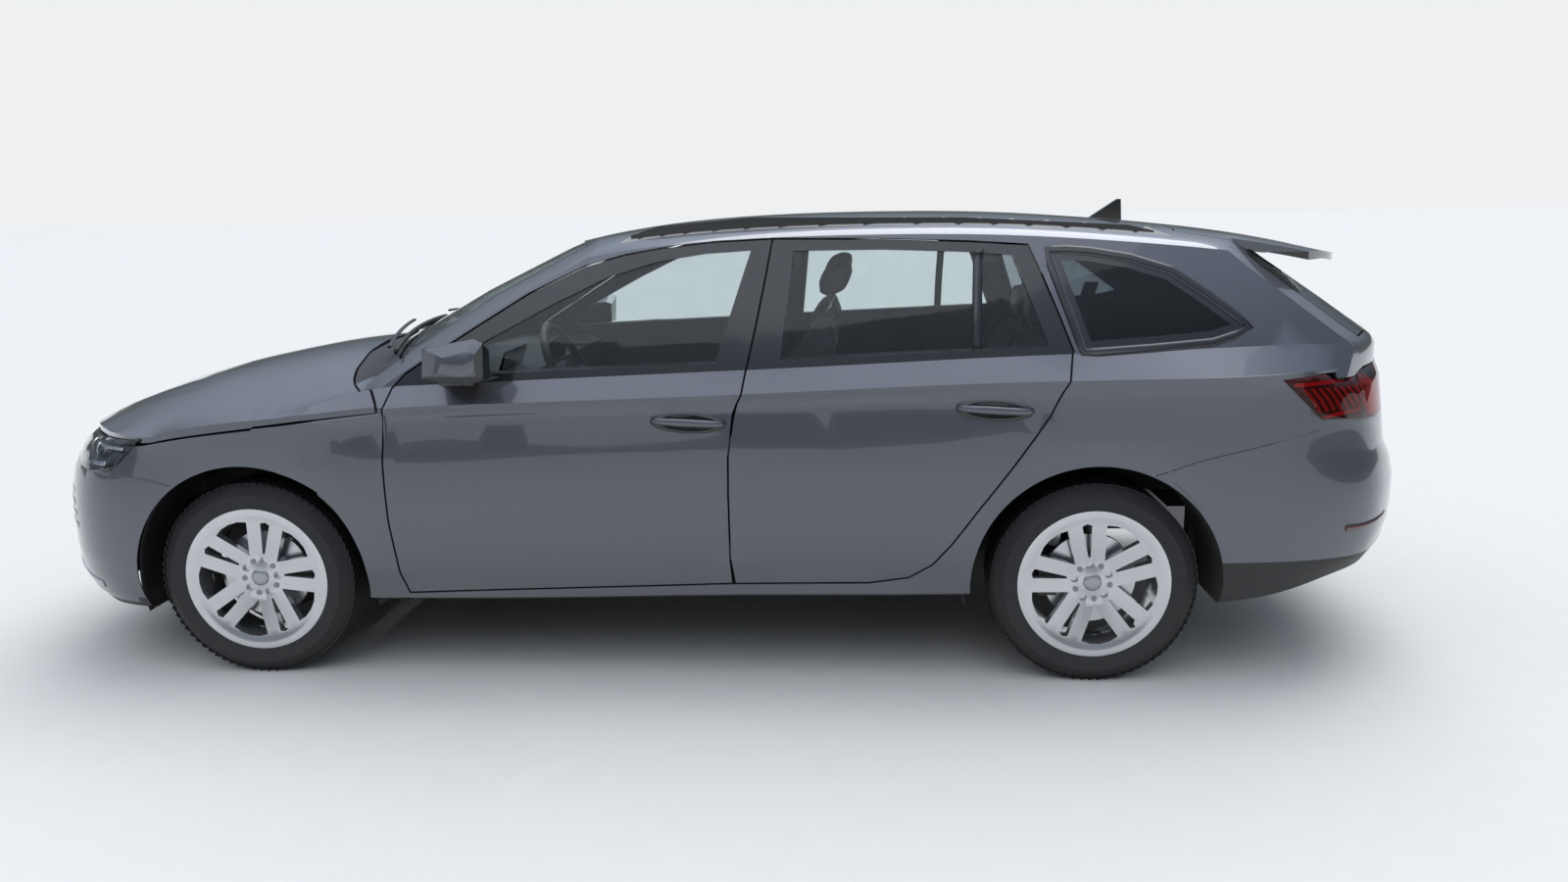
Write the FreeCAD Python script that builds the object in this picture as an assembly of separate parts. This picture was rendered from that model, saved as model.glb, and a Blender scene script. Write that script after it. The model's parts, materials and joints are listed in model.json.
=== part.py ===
import FreeCAD, Part
import math
import os
from FreeCAD import Vector

# A family station wagon with five doors, parked on its four wheels.
# Millimetres, +X forward, +Y to the left, +Z up.
# The origin lies on the ground below the middle of the car.

# Driving sizes of the whole car
length = 4689.0
width = 1829.0
height = 1468.0
wheelbase = 2686.0
front_overhang = 892.0
track = 1541.0

# Panels and gaps
skin = 5.0
seat_clearance = 0.3
shut_gap = 6.0
body_wall = 122.0
roof_wall = 42.0
hood_thickness = 18.0
glass_thickness = 5.0
glass_recess = 3.0
crease_step = 12.0
profile_depth = 100.0
overrun = 400.0
nose_sweep = 442.0
screen_bow = 372.0
tail_bow = 414.0
tail_step = 4.0

# Wheels
tyre_radius = 320.0
tyre_width = 206.0
rim_radius = 236.0
rim_width = 188.0
bolt_circle = 112.0
spoke_count = 5
arch_radius = 385.0
arch_lip = 60.0
arch_lip_depth = 12.0
well_gap = 57.0
front_well_share = 0.514

half_length = length / 2
half_width = width / 2
front_axle_x = half_length - front_overhang
rear_axle_x = front_axle_x - wheelbase
rear_overhang = length - wheelbase - front_overhang
wheel_y = track / 2
tyre_outer_y = wheel_y + tyre_width / 2

os.makedirs("parts", exist_ok=True)


# Places along the car are station shares: -1 at the nose, 0 at the front axle,
# 1 at the rear axle and 2 at the tail. Heights are shares of the car's height
# and half widths are shares of half of its width.
def along(share):
    if share < 0:
        return front_axle_x - share * front_overhang
    if share <= 1:
        return front_axle_x - share * wheelbase
    return rear_axle_x - (share - 1) * rear_overhang


def station_of(x):
    if x > front_axle_x:
        return (front_axle_x - x) / front_overhang
    if x >= rear_axle_x:
        return (front_axle_x - x) / wheelbase
    return 1 + (rear_axle_x - x) / rear_overhang


def up(share):
    return share * height


def out(share):
    return share * half_width


# Plan outline of the widest line of the body: station, half width, height of
# the bottom edge, height of the shoulder crease, and the name of a section.
body_station_shares = [
    (-1.0, 0.0, 0.117, 0.509, "nose"),
    (-0.997, 0.186, 0.117, 0.509, None),
    (-0.979, 0.372, 0.118, 0.51, None),
    (-0.935, 0.525, 0.119, 0.511, None),
    (-0.869, 0.656, 0.119, 0.513, None),
    (-0.778, 0.782, 0.12, 0.518, "front_corner"),
    (-0.688, 0.875, 0.123, 0.523, "front_corner"),
    (-0.572, 0.943, 0.129, 0.528, None),
    (-0.448, 0.973, 0.14, 0.532, None),
    (-0.364, 0.981, 0.146, 0.536, None),
    (-0.28, 0.987, 0.153, 0.549, "fender"),
    (0.0, 0.996, 0.163, 0.576, None),
    (0.093, 0.994, 0.17, 0.591, "fender"),
    (0.179, 0.99, 0.172, 0.604, "door"),
    (0.335, 0.987, 0.174, 0.616, None),
    (0.596, 0.991, 0.185, 0.632, None),
    (0.8, 0.996, 0.189, 0.649, "door"),
    (0.931, 0.999, 0.191, 0.657, "quarter"),
    (1.148, 0.997, 0.178, 0.661, None),
    (1.373, 0.987, 0.178, 0.664, "quarter"),
    (1.553, 0.962, 0.196, 0.668, None),
    (1.67, 0.925, 0.217, 0.67, None),
    (1.769, 0.858, 0.228, 0.672, "rear_corner"),
    (1.853, 0.733, 0.235, 0.673, "rear_corner"),
    (1.926, 0.569, 0.237, 0.674, None),
    (1.974, 0.383, 0.238, 0.674, None),
    (1.995, 0.197, 0.238, 0.674, None),
    (2.0, 0.0, 0.238, 0.674, "tail"),
]

# Upright sections of the lower body, from the bottom edge to the crease: how
# far each line lies inside the widest line, as a share of profile_depth, and
# how high it lies between the bottom edge and the crease.
section_shares = {
    "nose": [(1.2, 0.0), (0.7, 0.02), (0.45, 0.08), (0.24, 0.2), (0.0, 0.4), (0.0, 0.5),
             (0.0, 0.6), (0.12, 0.74), (0.22, 0.88), (0.34, 0.97), (0.52, 1.0)],
    "front_corner": [(1.15, 0.01), (0.7, 0.05), (0.32, 0.13), (0.08, 0.25), (0.0, 0.38),
                     (0.0, 0.5), (0.02, 0.62), (0.1, 0.73), (0.24, 0.83), (0.62, 0.94),
                     (1.05, 1.0)],
    "fender": [(0.6, 0.0), (0.33, 0.02), (0.2, 0.09), (0.08, 0.18), (0.02, 0.32), (0.0, 0.46),
               (0.0, 0.6), (0.04, 0.74), (0.13, 0.9), (0.12, 0.955), (0.09, 1.0)],
    "door": [(0.6, 0.0), (0.33, 0.02), (0.27, 0.09), (0.14, 0.18), (0.07, 0.32), (0.0, 0.48),
             (0.0, 0.6), (0.06, 0.76), (0.24, 0.915), (0.22, 0.955), (0.1, 1.0)],
    "quarter": [(0.6, 0.0), (0.33, 0.02), (0.18, 0.09), (0.06, 0.22), (0.01, 0.36), (0.0, 0.48),
                (0.01, 0.6), (0.07, 0.76), (0.17, 0.905), (0.16, 0.95), (0.08, 1.0)],
    "rear_corner": [(0.8, 0.0), (0.45, 0.03), (0.18, 0.1), (0.03, 0.2), (0.0, 0.3), (0.02, 0.42),
                    (0.16, 0.52), (0.34, 0.6), (0.46, 0.75), (0.62, 0.9), (0.88, 1.0)],
    "tail": [(0.8, 0.0), (0.38, 0.03), (0.1, 0.1), (0.0, 0.18), (0.0, 0.27), (0.0, 0.36),
             (0.2, 0.42), (0.66, 0.45), (0.7, 0.65), (0.76, 0.88), (0.92, 1.0)],
}

# Middle line of the hood: station, height.
hood_shares = [
    (-1.6, 0.33), (-1.1, 0.455), (-1.0, 0.488), (-0.944, 0.51), (-0.886, 0.533), (-0.774, 0.565),
    (-0.583, 0.608), (-0.314, 0.653), (0.0, 0.688), (0.093, 0.702), (0.22, 0.719),
]
hood_grid_shares = [0.22, 0.15, 0.093, 0.03, -0.06, -0.2, -0.35, -0.5, -0.62, -0.72, -0.81, -0.89,
                    -0.97, -1.06]
hood_cross_shares = [-1.1, -0.96, -0.82, -0.64, -0.43, -0.21, 0.0, 0.21, 0.43, 0.64, 0.82, 0.96, 1.1]
hood_rear_share = 0.179
hood_ease_share = 0.27

# Belt line below the side windows: station, half width, height.
belt_shares = [
    (0.112, 0.916, 0.64), (0.186, 0.925, 0.647), (0.335, 0.931, 0.659), (0.596, 0.933, 0.679),
    (0.819, 0.928, 0.696), (0.968, 0.919, 0.708), (1.193, 0.901, 0.713), (1.463, 0.869, 0.719),
    (1.688, 0.831, 0.722), (1.958, 0.782, 0.723),
]

# Middle line of the roof, run on past the windscreen and the tailgate.
roof_shares = [
    (0.112, 0.828), (0.223, 0.879), (0.335, 0.925), (0.408, 0.958), (0.503, 0.982),
    (0.627, 0.996), (0.763, 1.0), (0.895, 0.996), (1.085, 0.979), (1.385, 0.956),
    (1.697, 0.913), (1.958, 0.869), (2.02, 0.86),
]

# Middle lines of the windscreen and of the tailgate: station, height.
screen_shares = [
    (0.026, 0.613), (0.108, 0.702), (0.231, 0.826), (0.343, 0.923), (0.402, 0.967), (0.484, 1.022),
]
tail_shares = [
    (1.915, 0.545), (1.915, 0.671), (1.914, 0.705), (1.898, 0.722), (1.742, 0.804),
    (1.58, 0.886), (1.454, 0.954), (1.337, 1.022),
]

# Side view outlines: station, height.
front_door_shares = [
    (0.191, 0.193), (0.183, 0.238), (0.176, 0.353), (0.174, 0.481), (0.177, 0.599),
    (0.185, 0.644), (0.2, 0.673), (0.237, 0.717), (0.294, 0.781), (0.346, 0.839),
    (0.409, 0.893), (0.457, 0.916), (0.5, 0.929), (0.561, 0.941), (0.629, 0.946),
]
pillar_shares = [
    (0.629, 0.946), (0.601, 0.687), (0.586, 0.587), (0.578, 0.498), (0.577, 0.418),
    (0.578, 0.338), (0.579, 0.274), (0.583, 0.219),
]
rear_door_shares = [
    (0.629, 0.946), (0.755, 0.943), (0.856, 0.936), (0.921, 0.928), (0.969, 0.713),
    (0.962, 0.655), (0.942, 0.584), (0.908, 0.498), (0.863, 0.388), (0.835, 0.314),
    (0.813, 0.266), (0.788, 0.236), (0.743, 0.223), (0.583, 0.219),
]
front_window_shares = [
    (0.257, 0.67), (0.285, 0.731), (0.372, 0.814), (0.437, 0.87), (0.495, 0.901),
    (0.551, 0.916), (0.604, 0.922), (0.564, 0.693),
]
rear_window_shares = [
    (0.639, 0.7), (0.652, 0.92), (0.755, 0.921), (0.856, 0.914), (0.903, 0.907), (0.942, 0.723),
]
quarter_window_shares = [
    (0.983, 0.719), (0.946, 0.911), (0.989, 0.905), (1.08, 0.891), (1.188, 0.865),
    (1.283, 0.817), (1.391, 0.757), (1.301, 0.737), (1.151, 0.728),
]

barrel_slope_share = 0.26
barrel_bend_share = 0.379
roof_drop_share = 0.0272
hood_crown_power = 2.4


# Smooth value of one column of a table at a station, by cubic steps whose
# slopes never overshoot the table.
def table_value(table, station, column):
    points = [(row[0], row[column]) for row in table]
    if station <= points[0][0]:
        return points[0][1]
    if station >= points[-1][0]:
        return points[-1][1]
    steps = []
    for low, high in zip(points, points[1:]):
        steps.append((high[1] - low[1]) / (high[0] - low[0]))
    slopes = [steps[0]]
    for before, after in zip(steps, steps[1:]):
        if before * after <= 0:
            slopes.append(0.0)
        else:
            slopes.append(2 * before * after / (before + after))
    slopes.append(steps[-1])
    place = 0
    while points[place + 1][0] < station:
        place += 1
    run = points[place + 1][0] - points[place][0]
    part = (station - points[place][0]) / run
    value = (2 * part**3 - 3 * part**2 + 1) * points[place][1]
    value += (part**3 - 2 * part**2 + part) * run * slopes[place]
    value += (3 * part**2 - 2 * part**3) * points[place + 1][1]
    value += (part**3 - part**2) * run * slopes[place + 1]
    return value


# Basic shapes
def box(first, second):
    low = Vector(min(first.x, second.x), min(first.y, second.y), min(first.z, second.z))
    high = Vector(max(first.x, second.x), max(first.y, second.y), max(first.z, second.z))
    size = high - low
    return Part.makeBox(size.x, size.y, size.z, low)


def rod(start, end, radius):
    run = end - start
    return Part.makeCylinder(radius, run.Length, start, run)


def mirrored(shape):
    return shape.mirror(Vector(0, 0, 0), Vector(0, 1, 0))


def both(shape):
    return Part.makeCompound([shape, mirrored(shape)])


def solids_only(shape):
    solids = sorted(shape.Solids, key=lambda solid: -solid.Volume)
    kept = [solid for solid in solids if solid.Volume > solids[0].Volume / 500]
    return kept[0] if len(kept) == 1 else Part.makeCompound(kept)


def largest(shape):
    return max(shape.Solids, key=lambda solid: solid.Volume)


def curve_through(points):
    curve = Part.BSplineCurve()
    curve.interpolate(points)
    return curve.toShape()


# Solid through a row of sections with the same number of corners: a smooth line
# runs through each corner, and a ruled face joins each line to the next.
def banded_solid(sections):
    count = len(sections[0])
    lines = [curve_through([section[place] for section in sections]) for place in range(count)]
    faces = []
    for place in range(count):
        faces.append(Part.makeRuledSurface(lines[place], lines[(place + 1) % count]))
    for section in (sections[0], sections[-1]):
        faces.append(Part.Face(Part.makePolygon(section + section[:1])))
    return sewn(faces)


def sewn(faces):
    shell = Part.makeShell(faces)
    shell.sewShape()
    solid = Part.makeSolid(Part.Shell(shell.Faces))
    if solid.Volume < 0:
        solid.reverse()
    return solid


def save(name, shape):
    shape.exportStep("parts/" + name + ".step")


# Prism that runs across the car through a side view outline of (x, z) points.
def side_prism(points, low_y, high_y):
    corners = [Vector(x, low_y, z) for x, z in points]
    wire = Part.makePolygon(corners + corners[:1])
    return Part.Face(wire).extrude(Vector(0, high_y - low_y, 0))


def spots(shares):
    return [(along(station), up(rise)) for station, rise in shares]


# The same outline moved outwards by a gap, corner by corner.
def grown(points, gap):
    count = len(points)
    area = 0
    for (x1, z1), (x2, z2) in zip(points, points[1:] + points[:1]):
        area += x1 * z2 - x2 * z1
    turn = 1 if area > 0 else -1
    moved = []
    for index in range(count):
        before = points[index - 1]
        here = points[index]
        after = points[(index + 1) % count]
        first = (here[0] - before[0], here[1] - before[1])
        second = (after[0] - here[0], after[1] - here[1])
        first_run = math.hypot(*first)
        second_run = math.hypot(*second)
        n1 = (turn * first[1] / first_run, -turn * first[0] / first_run)
        n2 = (turn * second[1] / second_run, -turn * second[0] / second_run)
        spread = 1 + n1[0] * n2[0] + n1[1] * n2[1]
        reach = gap / max(spread, 0.4)
        moved.append((here[0] + (n1[0] + n2[0]) * reach, here[1] + (n1[1] + n2[1]) * reach))
    return moved


# Lower body: a wrap from the nose round the side to the tail
plan_points = [Vector(along(row[0]), out(row[1]), 0) for row in body_station_shares]
plan_curve = Part.BSplineCurve()
plan_curve.interpolate(plan_points)
plan_params = list(plan_curve.getKnots())


def plan_normal(param):
    tangent = plan_curve.tangent(param)[0]
    return Vector(-tangent.y, tangent.x, 0) * (-1)


# Section of the wrap at each plan point, blended between the named sections.
def section_at(index):
    named = [place for place, row in enumerate(body_station_shares) if row[4]]
    low = max(place for place in named if place <= index)
    high = min(place for place in named if place >= index)
    first = section_shares[body_station_shares[low][4]]
    second = section_shares[body_station_shares[high][4]]
    if low == high:
        return first
    part = (plan_params[index] - plan_params[low]) / (plan_params[high] - plan_params[low])
    ease = part * part * (3 - 2 * part)
    blend = []
    for (in1, up1), (in2, up2) in zip(first, second):
        blend.append((in1 + (in2 - in1) * ease, up1 + (up2 - up1) * ease))
    return blend


def inward(index, depth):
    return plan_points[index] - plan_normal(plan_params[index]) * depth


low_plane = up(0.03)
high_plane = up(0.78)


# Lengthwise lines of the wrap, from the nose round the left side to the tail,
# moved in by a wall. The first and the last lie on two level planes.
def wrap_rows(wall):
    rows = []
    levels = len(section_shares["door"])
    for level in range(-1, levels + 1):
        row = []
        for index, station in enumerate(body_station_shares):
            section = section_at(index)
            depth, rise = section[min(max(level, 0), levels - 1)]
            spot = inward(index, depth * profile_depth + wall)
            bottom = up(station[2])
            spot.z = bottom + rise * (up(station[3]) - bottom)
            if level < 0:
                spot.z = low_plane
            if level == levels:
                spot.z = high_plane
            if index in (0, len(body_station_shares) - 1):
                spot.y = 0
            row.append(spot)
        rows.append(row)
    return rows


def wrap_line(row):
    curve = Part.BSplineCurve()
    curve.interpolate(Points=row, Parameters=plan_params)
    return curve.toShape()


# Closed solid inside the wrap, between the two level planes
def wrap_solid(wall):
    lines = [wrap_line(row) for row in wrap_rows(wall)]
    faces = [Part.makeRuledSurface(low, high) for low, high in zip(lines, lines[1:])]
    faces += [mirrored(face) for face in faces]
    for line in (lines[0], lines[-1]):
        faces.append(Part.Face(Part.Wire([line, mirrored(line)])))
    return sewn(faces)


# Left half of the layer between two walls, from the bottom edge to the crease,
# or between the level planes where it is used to cut.
def wrap_layer(outer, inner, to_planes):
    outer_rows = wrap_rows(outer)
    inner_rows = wrap_rows(inner)
    if not to_planes:
        outer_rows = outer_rows[1:-1]
        inner_rows = inner_rows[1:-1]
    loop = outer_rows + inner_rows[::-1]
    lines = [wrap_line(row) for row in loop]
    faces = []
    for place in range(len(lines)):
        faces.append(Part.makeRuledSurface(lines[place], lines[(place + 1) % len(lines)]))
    for end in (0, -1):
        points = [row[end] for row in loop]
        faces.append(Part.Face(Part.makePolygon(points + points[:1])))
    return sewn(faces)


def whole(half):
    return largest(half.fuse(mirrored(half)))


crease_table = [(row[0], row[3]) for row in body_station_shares]
bottom_table = [(row[0], row[2]) for row in body_station_shares]


# Slab across the car above (or below) a height line of the side view.
def height_cutter(table, shift, limit):
    points = []
    for row in table:
        points.append(Vector(along(row[0]), -width, up(row[1]) + shift))
    ahead = Vector(points[0].x + overrun, -width, points[0].z)
    behind = Vector(points[-1].x - overrun, -width, points[-1].z)
    edges = [Part.makeLine(ahead, points[0])]
    edges.append(curve_through(points))
    edges.append(Part.makeLine(points[-1], behind))
    end = Vector(behind.x, -width, limit)
    start = Vector(ahead.x, -width, limit)
    edges += [Part.makeLine(behind, end), Part.makeLine(end, start), Part.makeLine(start, ahead)]
    return Part.Face(Part.Wire(edges)).extrude(Vector(0, 2 * width, 0))


def crease_point(station):
    place = 0
    rows = body_station_shares
    while place < len(rows) - 2 and rows[place + 1][0] < station:
        place += 1
    part = (station - rows[place][0]) / (rows[place + 1][0] - rows[place][0])
    param = plan_params[place] + part * (plan_params[place + 1] - plan_params[place])
    first = section_at(place)[-1][0]
    second = section_at(place + 1)[-1][0]
    depth = (first + (second - first) * part) * profile_depth
    spot = plan_curve.value(param) - plan_normal(param) * depth
    return Vector(along(station), spot.y, up(table_value(crease_table, station, 1)))


# Height of the hood at a place: its cross lines follow the nose in plan and are
# crowned between the two creases.
def hood_height(x, y):
    ease = min(max((x - along(hood_rear_share)) / (wheelbase * hood_ease_share), 0), 1)
    across = abs(y) / out(0.968)
    reach = nose_sweep * ease * ease * (3 - 2 * ease)
    middle_x = x + reach * across**3
    middle = table_value(hood_shares, station_of(middle_x), 1)
    side = table_value(crease_table, station_of(middle_x - reach), 1)
    return up(middle + (side - middle) * across**hood_crown_power)


def hood_block(drop, depth):
    sections = []
    for x_share in hood_grid_shares:
        x = along(x_share)
        row = []
        for y_share in hood_cross_shares:
            row.append(Vector(x, out(y_share), hood_height(x, out(y_share)) - drop))
        sections.append(row + [row[-1] - Vector(0, 0, depth), row[0] - Vector(0, 0, depth)])
    return banded_solid(sections)


# Upright prism inside the crease, seen from above, as far back as the screen.
def crease_prism(inset):
    points = []
    for index, station in enumerate(body_station_shares):
        if station[0] > hood_rear_share:
            break
        depth = section_at(index)[-1][0] * profile_depth + inset
        spot = inward(index, depth)
        spot.z = up(0.3)
        points.append(spot)
    points[0].y = 0
    mirror_points = [Vector(p.x, -p.y, p.z) for p in points[:0:-1]]
    edges = [curve_through(mirror_points + points)]
    edges.append(Part.makeLine(points[-1], mirror_points[0]))
    return Part.Face(Part.Wire(edges)).extrude(Vector(0, 0, up(0.6)))


# Shoulder between the crease and the belt
shoulder_stations = [0.02, 0.07, 0.12, 0.17, 0.22, 0.335, 0.5, 0.7, 0.9, 1.1, 1.3, 1.5, 1.65, 1.74]
shoulder_start_share = 0.02
shoulder_full_share = 0.19


def shoulder_solid():
    sections = []
    for station in shoulder_stations:
        crease = crease_point(station)
        x = along(station)
        belt_y = out(table_value(belt_shares, station, 1))
        belt_z = up(table_value(belt_shares, station, 2))
        part = (station - shoulder_start_share) / (shoulder_full_share - shoulder_start_share)
        part = min(max(part, 0), 1)
        ease = part * part * (3 - 2 * part)
        belt_y = crease.y - 2 * crease_step + (belt_y - crease.y + 2 * crease_step) * ease
        belt_z = crease.z + (belt_z - crease.z) * ease
        base = crease.z - crease_step
        inner = out(0.5)
        lip = crease_step / 8
        points = [Vector(x, inner, base), Vector(x, crease.y - lip - crease_step / 4, base),
                  Vector(x, crease.y - lip, crease.z - lip)]
        points += [Vector(x, belt_y, belt_z), Vector(x, inner, belt_z)]
        sections.append(points)
    solid = banded_solid(sections)
    return both(solid)


# Side window barrel and roof
roof_stations = [0.112, 0.2, 0.3, 0.408, 0.503, 0.627, 0.763, 0.895, 1.085, 1.3, 1.5, 1.697, 1.85, 2.0]


def barrel_y(station, z, wall):
    belt_y = out(table_value(belt_shares, station, 1)) - wall
    rise = z - up(table_value(belt_shares, station, 2))
    return belt_y - barrel_slope_share * rise - barrel_bend_share * rise * abs(rise) / height


def arch_points(station, wall, roof):
    x = along(station)
    belt_z = up(table_value(belt_shares, station, 2))
    mid_z = up(table_value(roof_shares, station, 1)) - roof
    top_z = mid_z - up(roof_drop_share) - up(0.0205)
    points = []
    for part in (-0.25, 0.0, 0.35, 0.7, 1.0):
        z = belt_z + (top_z - belt_z) * part
        if part < 0:
            z = belt_z - up(0.07)
        points.append(Vector(x, barrel_y(station, z, wall), z))
    side = points[-1].y
    for y_share, drop_share in ((0.96, 0.5), (0.9, 0.12)):
        z = mid_z - up(roof_drop_share) - up(0.0205) * drop_share
        points.append(Vector(x, side * y_share, z))
    for y_share in (0.7, 0.35, 0.0):
        z = mid_z - up(roof_drop_share) * y_share**2.2
        points.append(Vector(x, side * y_share, z))
    return points


def arch_solid(wall, roof):
    grid = []
    for station in roof_stations:
        points = arch_points(station, wall, roof)
        grid.append(points + [Vector(p.x, -p.y, p.z) for p in points[-2::-1]])
    return banded_solid(grid)


bow_cross_shares = [-1.08, -0.85, -0.6, -0.3, 0.0, 0.3, 0.6, 0.85, 1.08]


# Solid in front of the windscreen line, or behind the tailgate line, that
# bows back (or forward) towards the sides.
def end_cutter(table, bow_length, bow_power, shift, direction):
    sections = []
    for share in bow_cross_shares:
        bow = bow_length * abs(share)**bow_power
        row = []
        for station, rise in table:
            row.append(Vector(along(station) - direction * (bow + shift), out(share), up(rise)))
        reach = Vector(direction * 3 * overrun, 0, 0)
        sections.append(row + [row[-1] + reach, row[0] + reach])
    return banded_solid(sections)


def screen_cutter(shift):
    return end_cutter(screen_shares, screen_bow, 2.2, shift, 1)


def tail_cutter(shift):
    return end_cutter(tail_shares, tail_bow, 3, shift, -1)


# Hollow of the cabin, with straight walls up to the belt and the barrel above
cabin_stations = [0.125, 0.2, 0.335, 0.5, 0.627, 0.763, 0.895, 1.085, 1.3, 1.5, 1.697, 1.85]
floor_shares = [(0.125, 0.245), (0.72, 0.245), (0.78, 0.27), (0.9, 0.405), (1.85, 0.405)]
belt_rib = 40.0


def cabin_solid(low_wall, high_wall, roof, floor_drop):
    sections = []
    for station in cabin_stations:
        x = along(station)
        belt_z = up(table_value(belt_shares, station, 2))
        floor_z = up(table_value(floor_shares, station, 1)) - floor_drop
        side_y = crease_point(station).y - low_wall
        arch = arch_points(station, high_wall, roof)
        side_y = min(side_y, arch[1].y)
        half = [Vector(x, side_y, floor_z), Vector(x, side_y, belt_z - belt_rib)]
        half += [arch[2], arch[4], arch[6], arch[7]]
        sections.append(half + [Vector(p.x, -p.y, p.z) for p in reversed(half)])
    return banded_solid(sections)


# Outer forms of the body
wrap = wrap_solid(0)
above_crease = height_cutter(crease_table, 0, height)
below_sill = height_cutter(bottom_table, 0, 0)
lower_body = wrap.cut(above_crease).cut(below_sill)
hood_top = hood_block(0, up(0.08)).common(crease_prism(crease_step / 2))
tail_plane = tail_cutter(tail_step)
shoulder = shoulder_solid().cut(tail_plane)
greenhouse = arch_solid(0, 0).cut(screen_cutter(0)).cut(tail_plane)


# Flared lip round each wheel opening, and the well behind it
def arch_cone(x, well_y):
    inner = half_width - arch_lip_depth
    outer = half_width + profile_depth
    slope = arch_lip / arch_lip_depth
    wide = arch_radius + (outer - inner) * slope
    centre = Vector(x, inner, tyre_radius)
    cone = Part.makeCone(arch_radius, wide, outer - inner, centre, Vector(0, 1, 0))
    hole = rod(Vector(x, well_y, tyre_radius), Vector(x, outer, tyre_radius), arch_radius)
    return cone.fuse(hole)


rear_well_y = wheel_y - tyre_width / 2 - well_gap
front_well_y = out(front_well_share)
arch_cuts = both(arch_cone(front_axle_x, front_well_y)).fuse(both(arch_cone(rear_axle_x, rear_well_y)))
body_volume = lower_body.fuse([hood_top, shoulder, greenhouse]).cut(arch_cuts)

# Hollow of the cabin with a house over each wheel
house_wall = 12.0


def wheel_house(x, well_y):
    start = Vector(x, well_y - house_wall, tyre_radius)
    return both(rod(start, Vector(x, width, tyre_radius), arch_radius + house_wall))


house = wheel_house(rear_axle_x, rear_well_y).fuse(wheel_house(front_axle_x, front_well_y))
screen_wall = 75.0
tail_wall = 88.0
cabin = cabin_solid(body_wall, roof_wall, roof_wall, 0)
cabin = cabin.cut(screen_cutter(screen_wall)).cut(tail_cutter(tail_wall)).cut(house)

# Outlines of the doors in side view
front_door_outline = spots(front_door_shares) + spots(pillar_shares[1:])
rear_door_outline = spots(rear_door_shares[:-1]) + spots(pillar_shares[:0:-1])
door_taper_share = 0.34
door_outer_y = half_width + profile_depth
door_inner_y = out(0.55)


# Plug for a door: its rear edge leans forward as it goes inwards, so that it
# swings clear of the pillar behind it.
def door_plug(outline, rear_points, gap):
    moved = grown(outline, gap)
    rings = []
    for y in (door_outer_y, door_inner_y):
        ring = []
        for number, (x, z) in enumerate(moved):
            lean = 0
            if number in rear_points:
                lean = door_taper_share * (skin_y(x, z) - y)
            ring.append(Vector(x + lean, y, z))
        rings.append(Part.makePolygon(ring + ring[:1]))
    return Part.makeLoft(rings, True, True)


def skin_y(x, z):
    station = station_of(x)
    belt_z = up(table_value(belt_shares, station, 2))
    if z > belt_z:
        return barrel_y(station, z, 0)
    return crease_point(station).y


front_count = len(front_door_shares)
front_rear_points = range(front_count - 1, len(front_door_outline))
rear_rear_points = range(3, len(rear_door_shares) - 1)
half_gap = shut_gap / 2
sill_shares = [(0.05, 0.01), (0.05, 0.26), (0.76, 0.262), (0.84, 0.35), (0.9, 0.42), (1.0, 0.42), (1.0, 0.01)]
sill_core = side_prism(spots(sill_shares), out(0.1), out(0.85))
sill_room = side_prism(spots(sill_shares), out(0.1), out(0.85) + shut_gap)
front_hole = door_plug(front_door_outline, front_rear_points, half_gap).cut(sill_core)
rear_hole_side = door_plug(rear_door_outline, rear_rear_points, half_gap).cut(sill_core)

# Pillar between the doors, behind their outer flanges
flange_low = 62.0
flange_high = 27.0
pillar_half = 46.0
flange_volume = cabin_solid(flange_low, flange_high, roof_wall / 2, up(0.2))
pillar_line = spots(pillar_shares)
pillar_outline = [(x + pillar_half, z) for x, z in pillar_line]
pillar_outline += [(x - pillar_half, z) for x, z in reversed(pillar_line)]
pillar_prism = side_prism(pillar_outline, out(0.5), door_outer_y)
pillar_room = side_prism(grown(pillar_outline, shut_gap), out(0.5), door_outer_y)
room_volume = cabin_solid(flange_low - shut_gap, flange_high - shut_gap / 2, roof_wall / 2, up(0.2))
pillar_space = pillar_room.common(room_volume)


def window_prism(shares, gap):
    return side_prism(grown(spots(shares), gap), out(0.4), door_outer_y)


front_window = window_prism(front_window_shares, 0)
rear_window = window_prism(rear_window_shares, 0)
quarter_window = window_prism(quarter_window_shares, 0)
glass_outer = arch_solid(glass_recess, glass_recess)
glass_inner = arch_solid(glass_recess + glass_thickness, glass_recess + glass_thickness)
glass_sheet = glass_outer.cut(glass_inner)


def make_door(outline, rear_points, window):
    plug = door_plug(outline, rear_points, -half_gap).cut(sill_room)
    door = body_volume.common(plug).cut(cabin).cut(pillar_space).cut(window)
    return solids_only(door)


front_door = make_door(front_door_outline, front_rear_points, front_window)
rear_door = make_door(rear_door_outline, rear_rear_points, rear_window)
rear_door = solids_only(rear_door.cut(front_hole))
save("door_front_left", front_door)
save("door_front_right", mirrored(front_door))
save("door_rear_left", rear_door)
save("door_rear_right", mirrored(rear_door))
front_door_volume = body_volume.common(door_plug(front_door_outline, front_rear_points, 0))
front_pane = solids_only(glass_sheet.common(window_prism(front_window_shares, -seat_clearance)))
rear_pane = solids_only(glass_sheet.common(window_prism(rear_window_shares, -seat_clearance)))
save("window_front_left", front_pane)
save("window_front_right", mirrored(front_pane))
save("window_rear_left", rear_pane)
save("window_rear_right", mirrored(rear_pane))
quarter_pane = solids_only(glass_sheet.common(window_prism(quarter_window_shares, -seat_clearance)))
save("quarter_windows", both(quarter_pane))

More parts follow.
